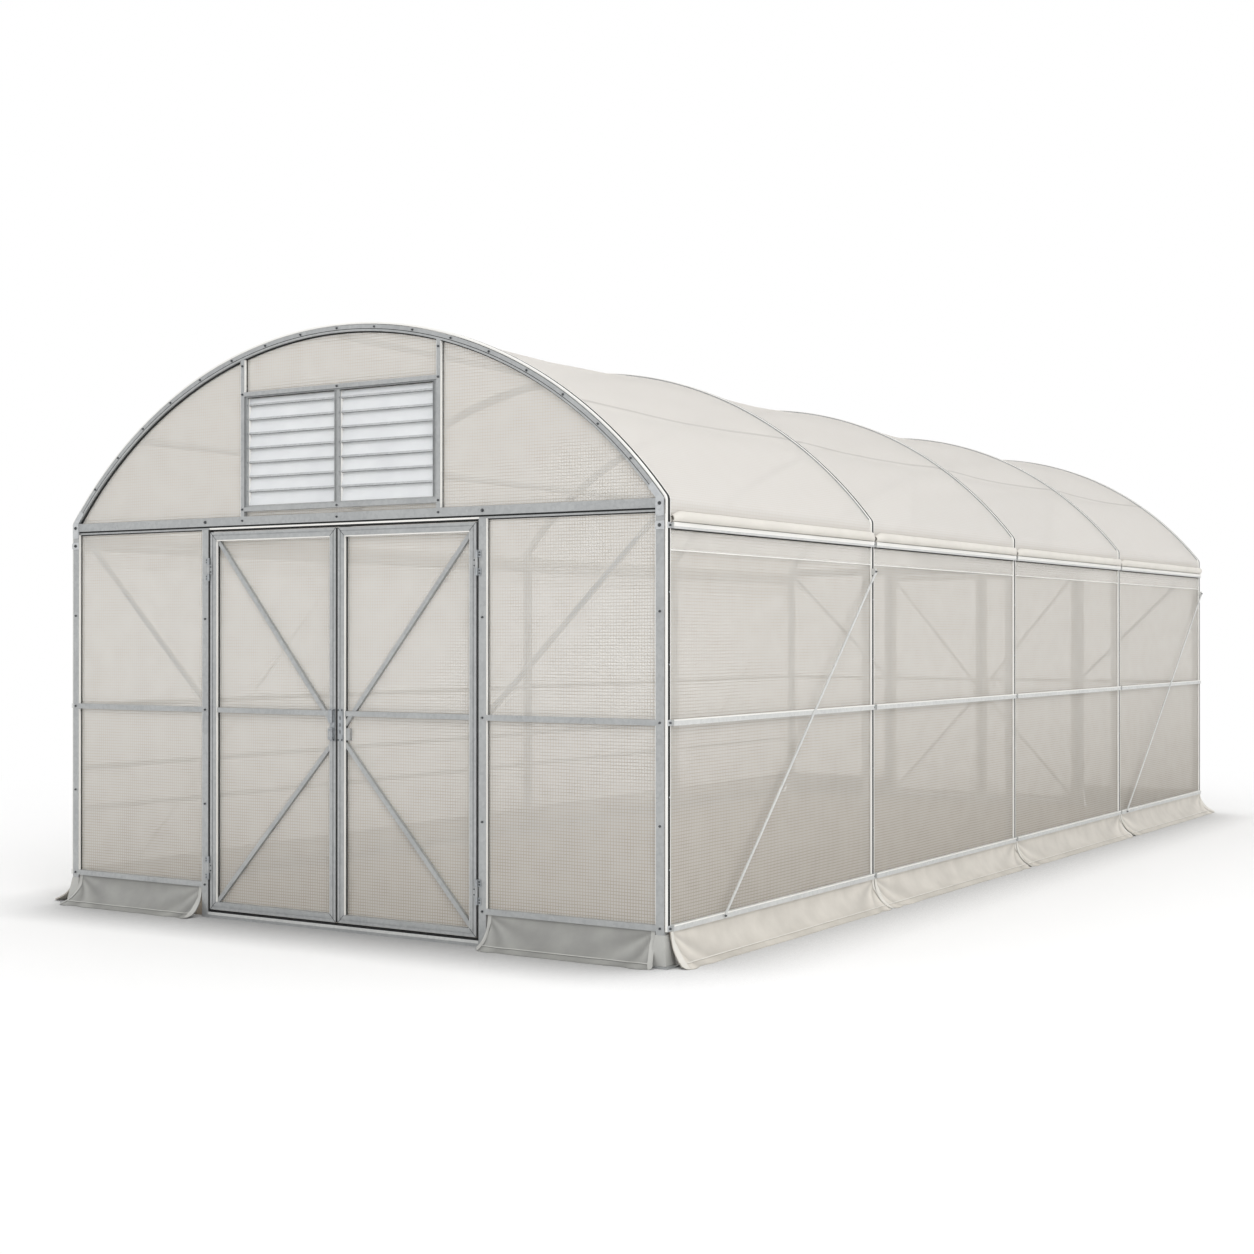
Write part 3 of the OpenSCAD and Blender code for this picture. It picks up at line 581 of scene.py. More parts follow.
GABLE_END = math.sqrt(SEAT_R ** 2 - (EAVE - BOW_Z) ** 2)
VENT_IN = VENT_OUT - 0.022
VENT_SILL = EAVE + 0.024
VENT_TOP = VENT_SILL + 0.572
END_GRID = 0.03
PANELS = (
    ("left_panel", -POST_IN, -JAMB_OUT, lambda x: WALL_BOTTOM, lambda x: CHANNEL_Z),
    ("right_panel", JAMB_OUT, POST_IN, lambda x: WALL_BOTTOM, lambda x: CHANNEL_Z),
    ("left_gable", -GABLE_END, -VENT_OUT, lambda x: EAVE, arch_z),
    ("right_gable", VENT_OUT, GABLE_END, lambda x: EAVE, arch_z),
    ("gable_top", -VENT_IN, VENT_IN, lambda x: VENT_TOP, arch_z),
    ("gable_sill", -VENT_IN, VENT_IN, lambda x: EAVE, lambda x: VENT_SILL),
)


def area_of(low, high, x0, x1):
    """Area between two heights."""
    steps = 200
    wide = (x1 - x0) / steps
    middles = [x0 + wide * (i + 0.5) for i in range(steps)]
    return sum((high(x) - low(x)) * wide for x in middles)


for end, word in ENDS:
    for seed, (part, x0, x1, low, high) in enumerate(PANELS):
        tall = max(high(x0), high(x1), high((x0 + x1) / 2)) - low(x0)
        flat = (x1 - x0, tall)
        columns, rows = max(4, round(flat[0] / END_GRID)), max(2, round(tall / END_GRID))
        sheet = sheet_mesh(columns, rows, end_place(end, x0, x1, low, high, seed), flat, FILM_T)
        layer = sheet.data.uv_layers.active.data
        for loop in sheet.data.loops:
            spot = sheet.data.vertices[loop.vertex_index].co
            layer[loop.index].uv = (spot.x, spot.z)
        finished(sheet, f"{word}_{part}_sheet", END_FILM, "frame")
        if seed == 0:
            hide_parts(f"{word}_end_film")
        area_of(low, high, x0, x1)


# Door film, stretched over the back of each leaf

def door_place(low, high, seed):
    """Shape of a leaf's sheet, slack in its middle."""
    y = (low.y + high.y) / 2

    def place(u, v):
        slack = min(1, 6 * min(u, 1 - u, v, 1 - v))
        swell = slack * 0.004 * (wave(u * 1.6, v * 3.0, seed) - 0.3)
        x, z = low.x + (high.x - low.x) * u, low.z + (high.z - low.z) * v
        return Vector((x, y - math.copysign(swell, y), z))
    return place


LEAVES = [(end, hand) for end in ("front", "rear") for hand in ("left", "right")]
for seed, (end, hand) in enumerate(LEAVES):
    low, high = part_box(f"{end}_{hand}_door_film")
    flat = (high.x - low.x, high.z - low.z)
    sheet = sheet_mesh(26, 60, door_place(low, high, seed + 20), flat, FILM_T)
    finished(sheet, f"{end}_{hand}_door_sheet", END_FILM, f"{end}_{hand}_leaf")
    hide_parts(f"{end}_{hand}_door_film")


# Skirts: heavy film that hangs from the bottom rail and bells out over the ground

SKIRT_TOP = WALL_BOTTOM
SKIRT_OUT = 0.105
SKIRT_LOOSE = 0.012
SKIRT_T = 0.003
SKIRT_R = (SKIRT_TOP ** 2 + SKIRT_OUT ** 2) / (2 * SKIRT_OUT)
SKIRT_ARC = math.asin(SKIRT_TOP / SKIRT_R)
SKIRT_CUT = SKIRT_R * SKIRT_ARC
SKIRT_ROWS = 28
SKIRT_STEP = 0.0125
SKIRT_GAP = 0.006
HEM = 0.05
TAPE = 0.02
TAPE_T = 0.002
TAPE_PROUD = 0.003
PIPING = 0.78
PIPING_W = 0.03
SPLAY = 0.05
SPLAY_REACH = 0.12
CORNER = 0.03


def skirt_profile(turn):
    """Outward reach and height at an angle from the skirt's top edge."""
    return SKIRT_R * (1 - math.cos(turn)), SKIRT_TOP - SKIRT_R * math.sin(turn)


def skirt_fold(near, down, seed, reach):
    """Height from -1 to 1 of the folds that fan out from a top corner, at places along and down from it."""
    spread = math.hypot(near, down)
    fan = math.atan2(down, near + 0.001)
    return math.sin(fan * 11 + seed) * min(1, spread / 0.06) * math.exp(-near / reach)


def skirt_place(length, seed, splay):
    """Shape of a skirt, along in u and down in v: folds fan out from its top corners, its ends splay."""
    def place(u, v, proud=0.0):
        s = length * u
        near = min(s, length - s)
        if near < CORNER:
            short = CORNER - math.sqrt(CORNER ** 2 - (CORNER - near) ** 2)
            v *= 1 - short / SKIRT_CUT
        down = v * SKIRT_CUT
        reach, height = skirt_profile(SKIRT_ARC * v)
        fold = 0.013 * skirt_fold(near, down, seed, 0.16)
        sway = 0.004 * wave(s * 2.4, v, seed) + 0.0015 * wave(s * 8, v * 2, seed + 2)
        edge = min(1, max(0, (HEM - (SKIRT_CUT - down)) / 0.004 + 0.5))
        lean = min(1, 3 * v)
        out = reach + lean * v * (fold + sway) + 0.0022 * edge * lean + proud
        start, stop = math.exp(-s / SPLAY_REACH), math.exp((s - length) / SPLAY_REACH)
        s += v ** 3 * (splay[1] * stop - splay[0] * start)
        z = max(height + (fold * 0.25 + proud) * lean, SKIRT_T / 2)
        return Vector((min(out, SKIRT_OUT + SKIRT_LOOSE), s, z))
    return place


def skirt(name, x0, y0, y1, turn, mirror, seed, splay, materials, stands_for):
    """A skirt from y0 to y1 that starts at x0, mirrored and turned to its wall, with tape on its edges."""
    length = y1 - y0
    inner = skirt_place(length, seed, splay)
    to_wall = Matrix.Rotation(turn, 4, "Z") @ Matrix.Diagonal((mirror, 1, 1, 1))
    start = Vector((x0, y0, 0))

    def on_wall(u, v, proud=0.0):
        return to_wall @ (inner(u, v, proud) + start)

    steps = round(length / SKIRT_STEP)
    sheet = sheet_mesh(steps, SKIRT_ROWS, on_wall, (length, SKIRT_CUT), SKIRT_T)
    shade_folds(sheet, lambda s, down: skirt_fold(min(s, length - s), down, seed, 0.3)
                + 0.3 * wave(s * 3, down * 6, seed) + 0.12 * wave(s * 16, down * 20, seed + 2))
    finished(sheet, name, materials[0], "frame")
    wide = TAPE / length
    edges = (lambda u, v: on_wall(wide * u, v, TAPE_PROUD), lambda u, v: on_wall(1 - wide * u, v, TAPE_PROUD))
    tapes = [sheet_mesh(3, SKIRT_ROWS, edge, (TAPE, SKIRT_CUT), TAPE_T) for edge in edges]
    tapes.append(sheet_mesh(steps, 2, lambda u, v: on_wall(u, PIPING + PIPING_W * v, TAPE_PROUD),
                            (length, PIPING_W * SKIRT_CUT), TAPE_T))
    tape = finished(joined(tapes), f"{name}_tape", materials[1], "frame")
    if stands_for:
        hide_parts(stands_for)


for side, word in SIDES:
    for bay in range(BAYS):
        ends = (SPLAY if bay == 0 else 0.003, SPLAY if bay == BAYS - 1 else 0.003)
        y0, y1 = drawn_in(HOOP_Y[bay:bay + 2], SKIRT_GAP)
        skirt(f"{word}_skirt_sheet_{bay + 1}", WALL_OUT + RAIL / 2, y0, y1, 0, side, bay + 30 + side, ends,
              (SKIRT, TAPE_PVC), f"{word}_skirt" if bay == 0 else None)

for turn, word in ((-math.pi / 2, "front"), (math.pi / 2, "rear")):
    for side in (-1, 1):
        y0, y1 = sorted(side * x for x in drawn_in((JAMB_OUT, POST_IN), SKIRT_GAP))
        ends = (SPLAY, 0.012) if side < 0 else (0.012, SPLAY)
        hand = "left" if side * turn > 0 else "right"
        skirt(f"{word}_skirt_sheet_{hand}", END_Y + TUBE / 4, y0, y1, turn, 1, 50 + side, ends,
              (END_SKIRT_SHADED, END_TAPE_SHADED), f"{word}_skirt" if side < 0 else None)


# Rolled film edge above the eave rail: the foot of the roof film, wound on itself and drawn in at the strips

ROLL_CORE = 0.014
ROLL_TURN = 4.3 * math.pi
ROLL_CUT = ROLL_TURN * (ROLL_CORE + ROLL_R) / 2
ROLL_START = math.radians(150)
LAYER_T = 0.0012


def roll_place(side, y0, y1, seed):
    """Shape of a roll: a spiral from its core outwards, pinched at its ends."""
    def place(u, v):
        y = y0 + (y1 - y0) * v
        turn = ROLL_TURN * u + ROLL_START
        near = min(1, min(y - y0, y1 - y) / 0.05)
        pinch = 0.6 + 0.4 * math.sin(near * math.pi / 2)
        slack = 0.0007 * wave(turn * 0.6, y * 4, seed)
        radius = pinch * (ROLL_CORE + (ROLL_R - ROLL_CORE) * u + slack)
        x, z = ROLL_X - ROLL_R * (1 - pinch), ROLL_Z - ROLL_R * (1 - pinch)
        return Vector((side * (x + radius * math.cos(turn)), y, z + radius * math.sin(turn)))
    return place


for side, word in SIDES:
    for bay in range(BAYS):
        y0, y1 = drawn_in(HOOP_Y[bay:bay + 2], STRIP_HALF - 0.004)
        flat = (ROLL_CUT, y1 - y0)
        piece = sheet_mesh(60, 40, roll_place(side, y0, y1, bay), flat, LAYER_T)
        finished(piece, f"{word}_eave_roll_{bay + 1}", ROLLED, "frame")
        if side < 0 and bay == 0:
            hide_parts("eave_rolls")


# Clamp strips over every hoop: a white channel with a rubber insert in its slot, from the skirt up and over

STRIP_BASE = 0.0032
STRIP_T = 0.010
BOW_STEPS = 80


def over_hoops(section, low, name, material):
    """A section drawn along the hoops' line, as points across the strip and out from it."""
    strips = []
    for y in HOOP_Y:
        strips.append(section_face([(HALF_W + STRIP_BASE + out, y + across, low) for across, out in section]))
        bpy.ops.mesh.extrude_region_move(TRANSFORM_OT_translate={"value": (0, 0, BEND_Z - low)})
        bpy.ops.mesh.spin(steps=6, angle=BEND, center=(BEND_X, y, BEND_Z), axis=(0, 1, 0))
        bpy.ops.mesh.spin(steps=BOW_STEPS, angle=2 * ARCH, center=(0, y, BOW_Z), axis=(0, 1, 0))
        bpy.ops.mesh.spin(steps=6, angle=BEND, center=(-BEND_X, y, BEND_Z), axis=(0, 1, 0))
        bpy.ops.mesh.extrude_region_move(TRANSFORM_OT_translate={"value": (0, 0, low - BEND_Z)})
        close_section()
    return finished(joined(strips), name, material, "frame")


CHANNEL = [(-STRIP_HALF, 0), (-STRIP_HALF, 0.0075), (-STRIP_HALF + 0.0025, STRIP_T), (-0.0108, STRIP_T),
           (-0.010, 0.0094), (-0.010, 0.003)]
CHANNEL += [(-across, out) for across, out in reversed(CHANNEL)]
INSERT_SECTION = [(-0.0099, 0.0031), (-0.0099, 0.0086), (-0.005, 0.0092), (0.005, 0.0092), (0.0099, 0.0086),
                  (0.0099, 0.0031)]
strips = over_hoops(CHANNEL, WALL_BOTTOM, "clamp_channels", CLAMP_AND_HIGHLIGHT)
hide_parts("hoop_strips")
over_hoops(INSERT_SECTION, WALL_BOTTOM + 0.002, "clamp_inserts", INSERT_AND_SHADOW)


def round_bow(end, section, half, name, material):
    """A section drawn round a bow, as radii and distances from the middle of the tunnel."""
    piece = section_face([(radius * math.sin(half), end * y, BOW_Z + radius * math.cos(half))
                          for radius, y in section])
    bpy.ops.mesh.spin(steps=BOW_STEPS, angle=2 * half, center=(0, 0, BOW_Z), axis=(0, 1, 0))
    close_section()
    return finished(piece, name, material, "frame")


# Steel-grey sides on the clamp strips over the roof: painted shade on the strips' sides; the end walls'
# own edges stay white
for i, y in enumerate(HOOP_Y):
    for facing, word in ENDS:
        if i != (0 if facing < 0 else BAYS):
            inner, outer = y + facing * STRIP_HALF, y + facing * (STRIP_HALF + 0.0012)
            round_bow(1, [(BOW_R + 0.0042, inner), (BOW_R + 0.0096, inner), (BOW_R + 0.0091, outer),
                          (BOW_R + 0.0042, outer)], ARCH, f"hoop_{i + 1}_{word}_side_shade", STEEL)


# Hem of the wall film that hangs loose under the eave rail

FLAP = 0.082
RAIL_FOOT = EAVE_RAIL - RAIL / 2
LINE_TALL = 0.005


def flap_place(side, y0, y1, seed):
    """Shape of a hem: flat at its top, loose and wavy at its foot."""
    top = RAIL_FOOT - LINE_TALL

    def place(u, v):
        y = y0 + (y1 - y0) * u
        loose = 1 - v
        near = min(u, 1 - u) * (y1 - y0)
        fold = 0.5 * wave(y * 3, loose, seed) + math.exp(-near / 0.12) * math.sin(near * 70 + loose * 3)
        return Vector((side * (WALL_OUT + 0.0012 + loose * (0.003 + 0.0025 * fold)), y, top - FLAP * loose))
    return place


for side, word in SIDES:
    for bay in range(BAYS):
        y0, y1 = drawn_in(HOOP_Y[bay:bay + 2], STRIP_HALF + 0.001)
        piece = sheet_mesh(140, 8, flap_place(side, y0, y1, bay + 70 + side), (y1 - y0, FLAP), LAYER_T)
        finished(piece, f"{word}_eave_hem_{bay + 1}", HEM_FILM, "frame")


# Ground sheet, laid

ground_low, ground_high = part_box("ground_sheet")
GROUND_CUT = (ground_high.x - ground_low.x, ground_high.y - ground_low.y)


def ground_place(u, v):
    """Shape of the ground sheet: slow low waves that end flat at its edges."""
    x = ground_low.x + GROUND_CUT[0] * u
    y = ground_low.y + GROUND_CUT[1] * v
    rise = max(0, 0.0015 + 0.002 * wave(x * 1.5, y * 1.5, 60))
    return Vector((x, y, 0.001 + rise * min(1, 20 * min(u, 1 - u, v, 1 - v))))


ground = sheet_mesh(48, 112, ground_place, GROUND_CUT, 0.0015)
finished(ground, "ground_cover", GROUND, "frame")
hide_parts("ground_sheet")


# Louvres: opal slats that lean back, each with a rolled steel lip at its foot

BLADES = 7
VENT_BORDER = 0.028
BLADE_TOP = VENT_TOP - VENT_BORDER
BLADE_FOOT = VENT_SILL + VENT_BORDER
BLADE_PITCH = (BLADE_TOP - BLADE_FOOT) / (BLADES + 0.5)
BLADE_LEAN = math.atan2(0.016, BLADE_PITCH)
BLADE_LAP = 0.008
BLADE_HALF_T = 0.00125
LIP_R = 0.0032
LIP_FRONT = 0.010
LIP_DEEP = LIP_FRONT + LIP_R
LIP_Y = END_FACE - LIP_DEEP
LINER_DEEP = (0.034, 0.0105)
REBATE_DEEP = (0.0105, 0.001)
UNDER_LIP_DEEP = (LIP_DEEP + 0.004, LIP_DEEP - 0.0005)
COLUMNS = ((-VENT_IN + 0.020, -0.015), (0.015, VENT_IN - 0.020))
COLUMN_SIDES = [(x, grow) for x0, x1 in COLUMNS for x, grow in ((x0, 1), (x1, -1))]
LIP_Z = [BLADE_TOP - (i + 0.5) * BLADE_PITCH for i in range(BLADES)]
SLATS = [(LIP_Z[0], BLADE_TOP - 0.0025)] + [(z, z + BLADE_PITCH + BLADE_LAP) for z in LIP_Z[1:]]
SLATS.append((BLADE_FOOT + 0.001, BLADE_FOOT + BLADE_PITCH + BLADE_LAP))


def rolled_lip(x0, x1):
    """A lip along X at the origin: a roll with hollow ends and a flat web on top."""
    lip = round_bar(16, LIP_R, x1 - x0, location=((x0 + x1) / 2, 0, 0), rotation=(0, math.pi / 2, 0))
    pick(lip, lambda centre, normal: abs(normal.x) > 0.9)
    bpy.ops.mesh.inset(thickness=0.0018, depth=-0.006, use_individual=True)
    bpy.ops.object.mode_set(mode="OBJECT")
    pick(lip, lambda centre, normal: normal.z > 0.95)
    bpy.ops.mesh.extrude_region_move(TRANSFORM_OT_translate={"value": (0, 0, 0.004)})
    bpy.ops.object.mode_set(mode="OBJECT")
    bpy.ops.object.shade_smooth_by_angle(angle=math.radians(40))
    return lip


for end, word in ENDS:
    lean = Matrix.Rotation(end * BLADE_LEAN, 4, "X")
    slats, lips, shadow = [], [], []
    for x0, x1 in COLUMNS:
        for low_z, high_z in SLATS:
            slat = soft_bar((x0, -BLADE_HALF_T, 0), (x1, BLADE_HALF_T, high_z - low_z), 0.0008)
            slat.data.transform(Matrix.Translation((0, end * LIP_Y, low_z)) @ lean)
            slats.append(slat)
        lip = rolled_lip(x0, x1)
        lips += [copied(lip, Matrix.Translation((0, end * LIP_Y, z))) for z in LIP_Z]
        bpy.data.objects.remove(lip)
        # Dark strips under the top of the opening and under each lip: painted shadow
        shadow.append(end_bar(end, (x0, x1), REBATE_DEEP, (BLADE_TOP - 0.002, BLADE_TOP)))
        shadow += [end_bar(end, (x0, x1), UNDER_LIP_DEEP, (z - LIP_R - 0.001, z - LIP_R)) for z in LIP_Z]
    slats = finished(joined(slats), f"{word}_vent_slats", SLAT, "frame")
    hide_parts(f"{word}_vent_blades")
    finished(joined(lips), f"{word}_vent_lips", SLEEVE, "frame")
    blades = (BLADE_FOOT, BLADE_TOP)
    bars([end_bar(end, (x, x + grow * 0.003), LINER_DEEP, blades) for x, grow in COLUMN_SIDES],
         0.0006, f"{word}_vent_liners", CLAMP_AND_HIGHLIGHT)
    bars([end_bar(end, (x, x + grow * 0.0012), REBATE_DEEP, blades) for x, grow in COLUMN_SIDES],
         0.0003, f"{word}_vent_rebates", STEEL)
    bars(shadow, 0.0003, f"{word}_vent_painted_shadows", INSERT_AND_SHADOW)


# Fasteners: a flange bolt and a recessed screw, each modelled once with its seat at the origin

def flange_bolt(wide):
    """A bolt head with a chamfered hexagon on a flange of the radius given."""
    flange = round_bar(12, wide, 0.002, location=(0, 0, 0.001))
    pick(flange, is_top)
    raise_inner(wide * 0.16, 0.0006)
    bpy.ops.object.mode_set(mode="OBJECT")
    head = round_bar(6, wide * 0.66, 0.0056, location=(0, 0, 0.0048))
    pick(head, is_top)
    raise_inner(0.0009, 0.0007)
    bpy.ops.object.mode_set(mode="OBJECT")
    return joined([flange, head])


def pan_screw():
    """A low screw head 8 mm wide with a recess for the driver."""
    screw = round_bar(10, 0.004, 0.0016, location=(0, 0, 0.0008))
    pick(screw, is_top)
    raise_inner(0.001, 0.0006)
    bpy.ops.mesh.inset(thickness=0.0012)
    bpy.ops.mesh.extrude_region_move(TRANSFORM_OT_translate={"value": (0, 0, -0.001)})
    bpy.ops.object.mode_set(mode="OBJECT")
    return screw


bolt, small_bolt, screw = flange_bolt(0.008), flange_bolt(0.0055), pan_screw()

# Lines of bolts and screws; a plate and a hinge or latch tab stand proud of the posts' outer face
POST_X = HALF_W - TUBE / 2
JAMB_X = (JAMB_IN + JAMB_OUT) / 2
VENT_POST_X = (VENT_IN + VENT_OUT) / 2
LINTEL_Z = EAVE - TUBE / 2
PLATE = 0.003
TAB = 0.004
STRIP_OUT = HALF_W + STRIP_BASE + STRIP_T
RAIL_Z = (EAVE_RAIL, MID_RAIL, BOTTOM_RAIL)
BOW_BOLTS = [math.radians(5.75 * i) for i in range(-8, 9)]
BOW_BOLT_R = BOW_R - 0.010
POST_BOLTS = (1.47, MID_RAIL, 0.58, BOTTOM_RAIL)
JAMB_BOLTS = (1.45, MID_RAIL, 0.55, BOTTOM_RAIL)
VENT_BOLTS = (VENT_TOP - 0.010, VENT_SILL + 0.010, LINTEL_Z)
STRIP_SCREWS = (0.40, 0.70, 1.25, 1.55)

# A dark strip in the end bows' groove, painted shade, and a dark strip between their underside and the
# gable film, painted shadow
GROOVE = BOW_R - BOW_D + 0.009
BOW_LINE = [(GROOVE, END_FACE - 0.0019), (GROOVE, END_FACE - 0.0002), (GROOVE + 0.0015, END_FACE + 0.0003),
            (GROOVE + 0.003, END_FACE - 0.0002), (GROOVE + 0.003, END_FACE - 0.0019)]
BOW_SHADOW = [(SEAT_R - 0.005, END_Y + 0.0005), (SEAT_R - 0.005, END_Y + 0.006),
            (SEAT_R - 0.003, END_Y + 0.009), (SEAT_R, END_Y + 0.010), (SEAT_R, END_Y + 0.0005)]

# Depths of the painted light and painted shadow strips and of the door seals, in from the posts' outer face
LIT_FACE_DEEP = (0.014, 0.001)
FILM_SHADOW_DEEP = (0.0195, 0.014)
LINTEL_SHADOW_DEEP = (0.0115, 0.0075)
DOOR_SEAL_DEEP = (0.030, 0.0025)
DOOR_LIT_FACE_DEEP = (0.014, 0.002)

# Doors: hinges, latch, and the outside and the opening of a leaf's frame
HINGE_Z = (0.24, 1.69)
HINGE_X = JAMB_IN - 0.007
HINGE_SCREW = 0.014
LATCH_X = 0.0245
LATCH_Z = 0.955
GUIDE_Z = (0.893, 0.930)
LEAF_X = (0.006, 0.804)
LEAF_Z = (0.040, 1.870)
LEAF_TUBE = 0.037
OPEN_X, OPEN_Z = drawn_in(LEAF_X, LEAF_TUBE), drawn_in(LEAF_Z, LEAF_TUBE)
MITRE_X, MITRE_Z = drawn_in(LEAF_X, LEAF_TUBE / 2), drawn_in(LEAF_Z, LEAF_TUBE / 2)

for end, word in ENDS:
    out = (0, end, 0)
    face, plate, tab = [end * (END_FACE + proud) for proud in (0, PLATE, TAB)]
    fasten(small_bolt, [((BOW_BOLT_R * math.sin(a), face, BOW_Z + BOW_BOLT_R * math.cos(a)), out)
                        for a in BOW_BOLTS], f"{word}_bow_bolts")
    spots, small_spots = [], []
    for x in (-1, 1):
        spots += [((x * POST_X, plate, z), out) for z in (EAVE - 0.022, EAVE_RAIL)]
        spots.append(((x * JAMB_X, face, LINTEL_Z), out))
        small_spots += [((x * POST_X, face, z), out) for z in POST_BOLTS]
        small_spots += [((x * JAMB_X, face, z), out) for z in JAMB_BOLTS]
    fasten(bolt, spots, f"{word}_post_bolts")
    fasten(small_bolt, small_spots, f"{word}_rail_bolts")
    vent_spots = [(x * VENT_POST_X, z) for x in (-1, 0, 1) for z in VENT_BOLTS]
    vent_spots += [(x * VENT_POST_X, arch_z(VENT_POST_X) - 0.03) for x in (-1, 1)]
    fasten(small_bolt, [((x, face, z), out) for x, z in vent_spots], f"{word}_vent_bolts")
    round_bow(end, BOW_LINE, math.radians(49.8), f"{word}_bow_line", INSERT_AND_SHADOW)
    round_bow(end, BOW_SHADOW, math.radians(51.2), f"{word}_bow_painted_shadow", INSERT_AND_SHADOW)
    pin_face = end * (END_FACE - LIP_FRONT)
    fasten(screw, [((x0 - 0.006, pin_face, z), out) for x0, x1 in COLUMNS for z in LIP_Z],
           f"{word}_louvre_pins")
    bars([end_bar(end, (x * (POST_X - 0.022), x * (POST_X + 0.022)), (0, -PLATE),
                  (EAVE_RAIL - 0.018, EAVE_RAIL + 0.018)) for x in (-1, 1)],
         0.001, f"{word}_post_collars", SLEEVE)

    # White strips on the sides of the uprights: painted light, as on faces lit from the right. Dark strips
    # behind them at the film, under the lintel and at the channel: painted shadow
    highlight_strips, shadow_lines = [], []
    edges = [(x, grow, WALL_BOTTOM, CHANNEL_Z) for x, grow in ((POST_IN, -1), (JAMB_OUT, 1))]
    edges += [(VENT_OUT, 1, EAVE, arch_z(VENT_OUT) - 0.004), (VENT_IN, -1, VENT_TOP, arch_z(VENT_IN) - 0.004)]
    for x, grow, z0, z1 in edges:
        for hand in (-1, 1):
            highlight_strips.append(end_bar(end, (hand * x, hand * (x + grow * 0.0025)), LIT_FACE_DEEP, (z0, z1)))
            shadow_lines.append(end_bar(end, (hand * x, hand * (x + grow * 0.004)), FILM_SHADOW_DEEP, (z0, z1)))
    bars(highlight_strips, 0.0006, f"{word}_film_painted_light", CLAMP_AND_HIGHLIGHT)
    under_lintel = (EAVE - TUBE - 0.008, EAVE - TUBE)
    shadow_lines.append(end_bar(end, (-JAMB_OUT, JAMB_OUT), LINTEL_SHADOW_DEEP, under_lintel))
    for hand in (-1, 1):
        panel = (hand * JAMB_OUT, hand * POST_IN)
        shadow_lines.append(end_bar(end, panel, LINTEL_SHADOW_DEEP, under_lintel))
        shadow_lines.append(end_bar(end, panel, (0.0195, 0.013), (CHANNEL_Z - 0.005, CHANNEL_Z)))
    bars(shadow_lines, 0.0008, f"{word}_film_painted_shadows", INSERT_AND_SHADOW)
    # A white strip on the channel's lower lip: painted highlight
    bars([end_bar(end, drawn_in((-JAMB_IN, JAMB_IN), 0.002), (0.008, 0.0055),
                  (CHANNEL_Z - 0.001, CHANNEL_Z + 0.008))],
         0.001, f"{word}_lintel_painted_highlight", CLAMP_AND_HIGHLIGHT)

    # Door seals of black rubber: on the jambs, over the doors and on the threshold, and on the meeting edge
    # of the left leaf; their black is also painted shade in the gaps
    gaps = [end_bar(end, (x * (JAMB_IN - 0.0095), x * JAMB_IN), DOOR_SEAL_DEEP, (0.027, CHANNEL_Z))
            for x in (-1, 1)]
    gaps.append(end_bar(end, (-JAMB_IN, JAMB_IN), (0.028, 0.0095), (CHANNEL_Z - 0.010, CHANNEL_Z)))
    bars(gaps, 0.002, f"{word}_jamb_seals", RUBBER_AND_SHADOW)
    bars([end_bar(end, (-0.006, 0.0015), DOOR_SEAL_DEEP, (0.042, 1.868))],
         0.002, f"{word}_meeting_seal", RUBBER_AND_SHADOW, f"{word}_left_leaf")
    bars([end_bar(end, drawn_in((-JAMB_IN, JAMB_IN), 0.010), (0.032, 0.006), (SILL, SILL + 0.0075))],
         0.002, f"{word}_threshold_seal", RUBBER_AND_SHADOW)
    # A pale nosing on the threshold's front, in the paler steel: painted highlight on its edge
    bars([end_bar(end, (-JAMB_IN, JAMB_IN), (0, -0.0015), (SILL - 0.013, SILL + 0.0005))],
         0.0006, f"{word}_threshold_nosing", RAIL_STEEL_PAINTED_LIGHT)

    # Doors: screws of hinges and latch, mitre lines, bolt guides, and in the leaf's opening white strips,
    # painted light, and dark strips, painted shadow
    fasten(screw, [((x * (HINGE_X + HINGE_SCREW), tab, z + d), out) for x in (-1, 1) for z in HINGE_Z
                   for d in (-0.046, -0.034, 0.034, 0.046)], f"{word}_jamb_hinge_screws")
    for x, hand in SIDES:
        leaf = f"{word}_{hand}_leaf"
        spots = [((x * (LATCH_X + d), tab, LATCH_Z + h), out)
                 for d in (-0.010, 0.010) for h in (-0.069, 0.069)]
        spots += [((x * (HINGE_X - HINGE_SCREW), tab, z + d), out) for z in HINGE_Z for d in (-0.012, 0.012)]
        fasten(screw, spots, f"{word}_{hand}_door_screws", body=leaf)
        mitres = []
        for across, corner_x in zip((-1, 1), MITRE_X):
            for up, corner_z in zip((-1, 1), MITRE_Z):
                line = soft_bar((-0.026, -0.0006, -0.0013), (0.026, 0.0006, 0.0013), 0.0003)
                line.data.transform(Matrix.Translation((x * corner_x, face, corner_z))
                                    @ Matrix.Rotation(-x * across * up * math.pi / 4, 4, "Y"))
                mitres.append(line)
        finished(joined(mitres), f"{word}_{hand}_door_mitres", BOLT, leaf)
        highlight_strips, shadow_lines = [], []
        for edge, grow in zip(OPEN_X, (1, -1)):
            highlight_strips.append(end_bar(end, (x * edge, x * (edge + grow * 0.003)), DOOR_LIT_FACE_DEEP, OPEN_Z))
            shadow_lines.append(end_bar(end, (x * edge, x * (edge + grow * 0.004)), (0.024, 0.014), OPEN_Z))
        head = (OPEN_Z[1] - 0.006, OPEN_Z[1])
        highlight_strips.append(end_bar(end, (x * OPEN_X[0], x * OPEN_X[1]), DOOR_LIT_FACE_DEEP, head))
        bars(highlight_strips, 0.0008, f"{word}_{hand}_door_painted_light", CLAMP_AND_HIGHLIGHT, leaf)
        bars(shadow_lines, 0.0008, f"{word}_{hand}_door_painted_shadows", INSERT_AND_SHADOW, leaf)
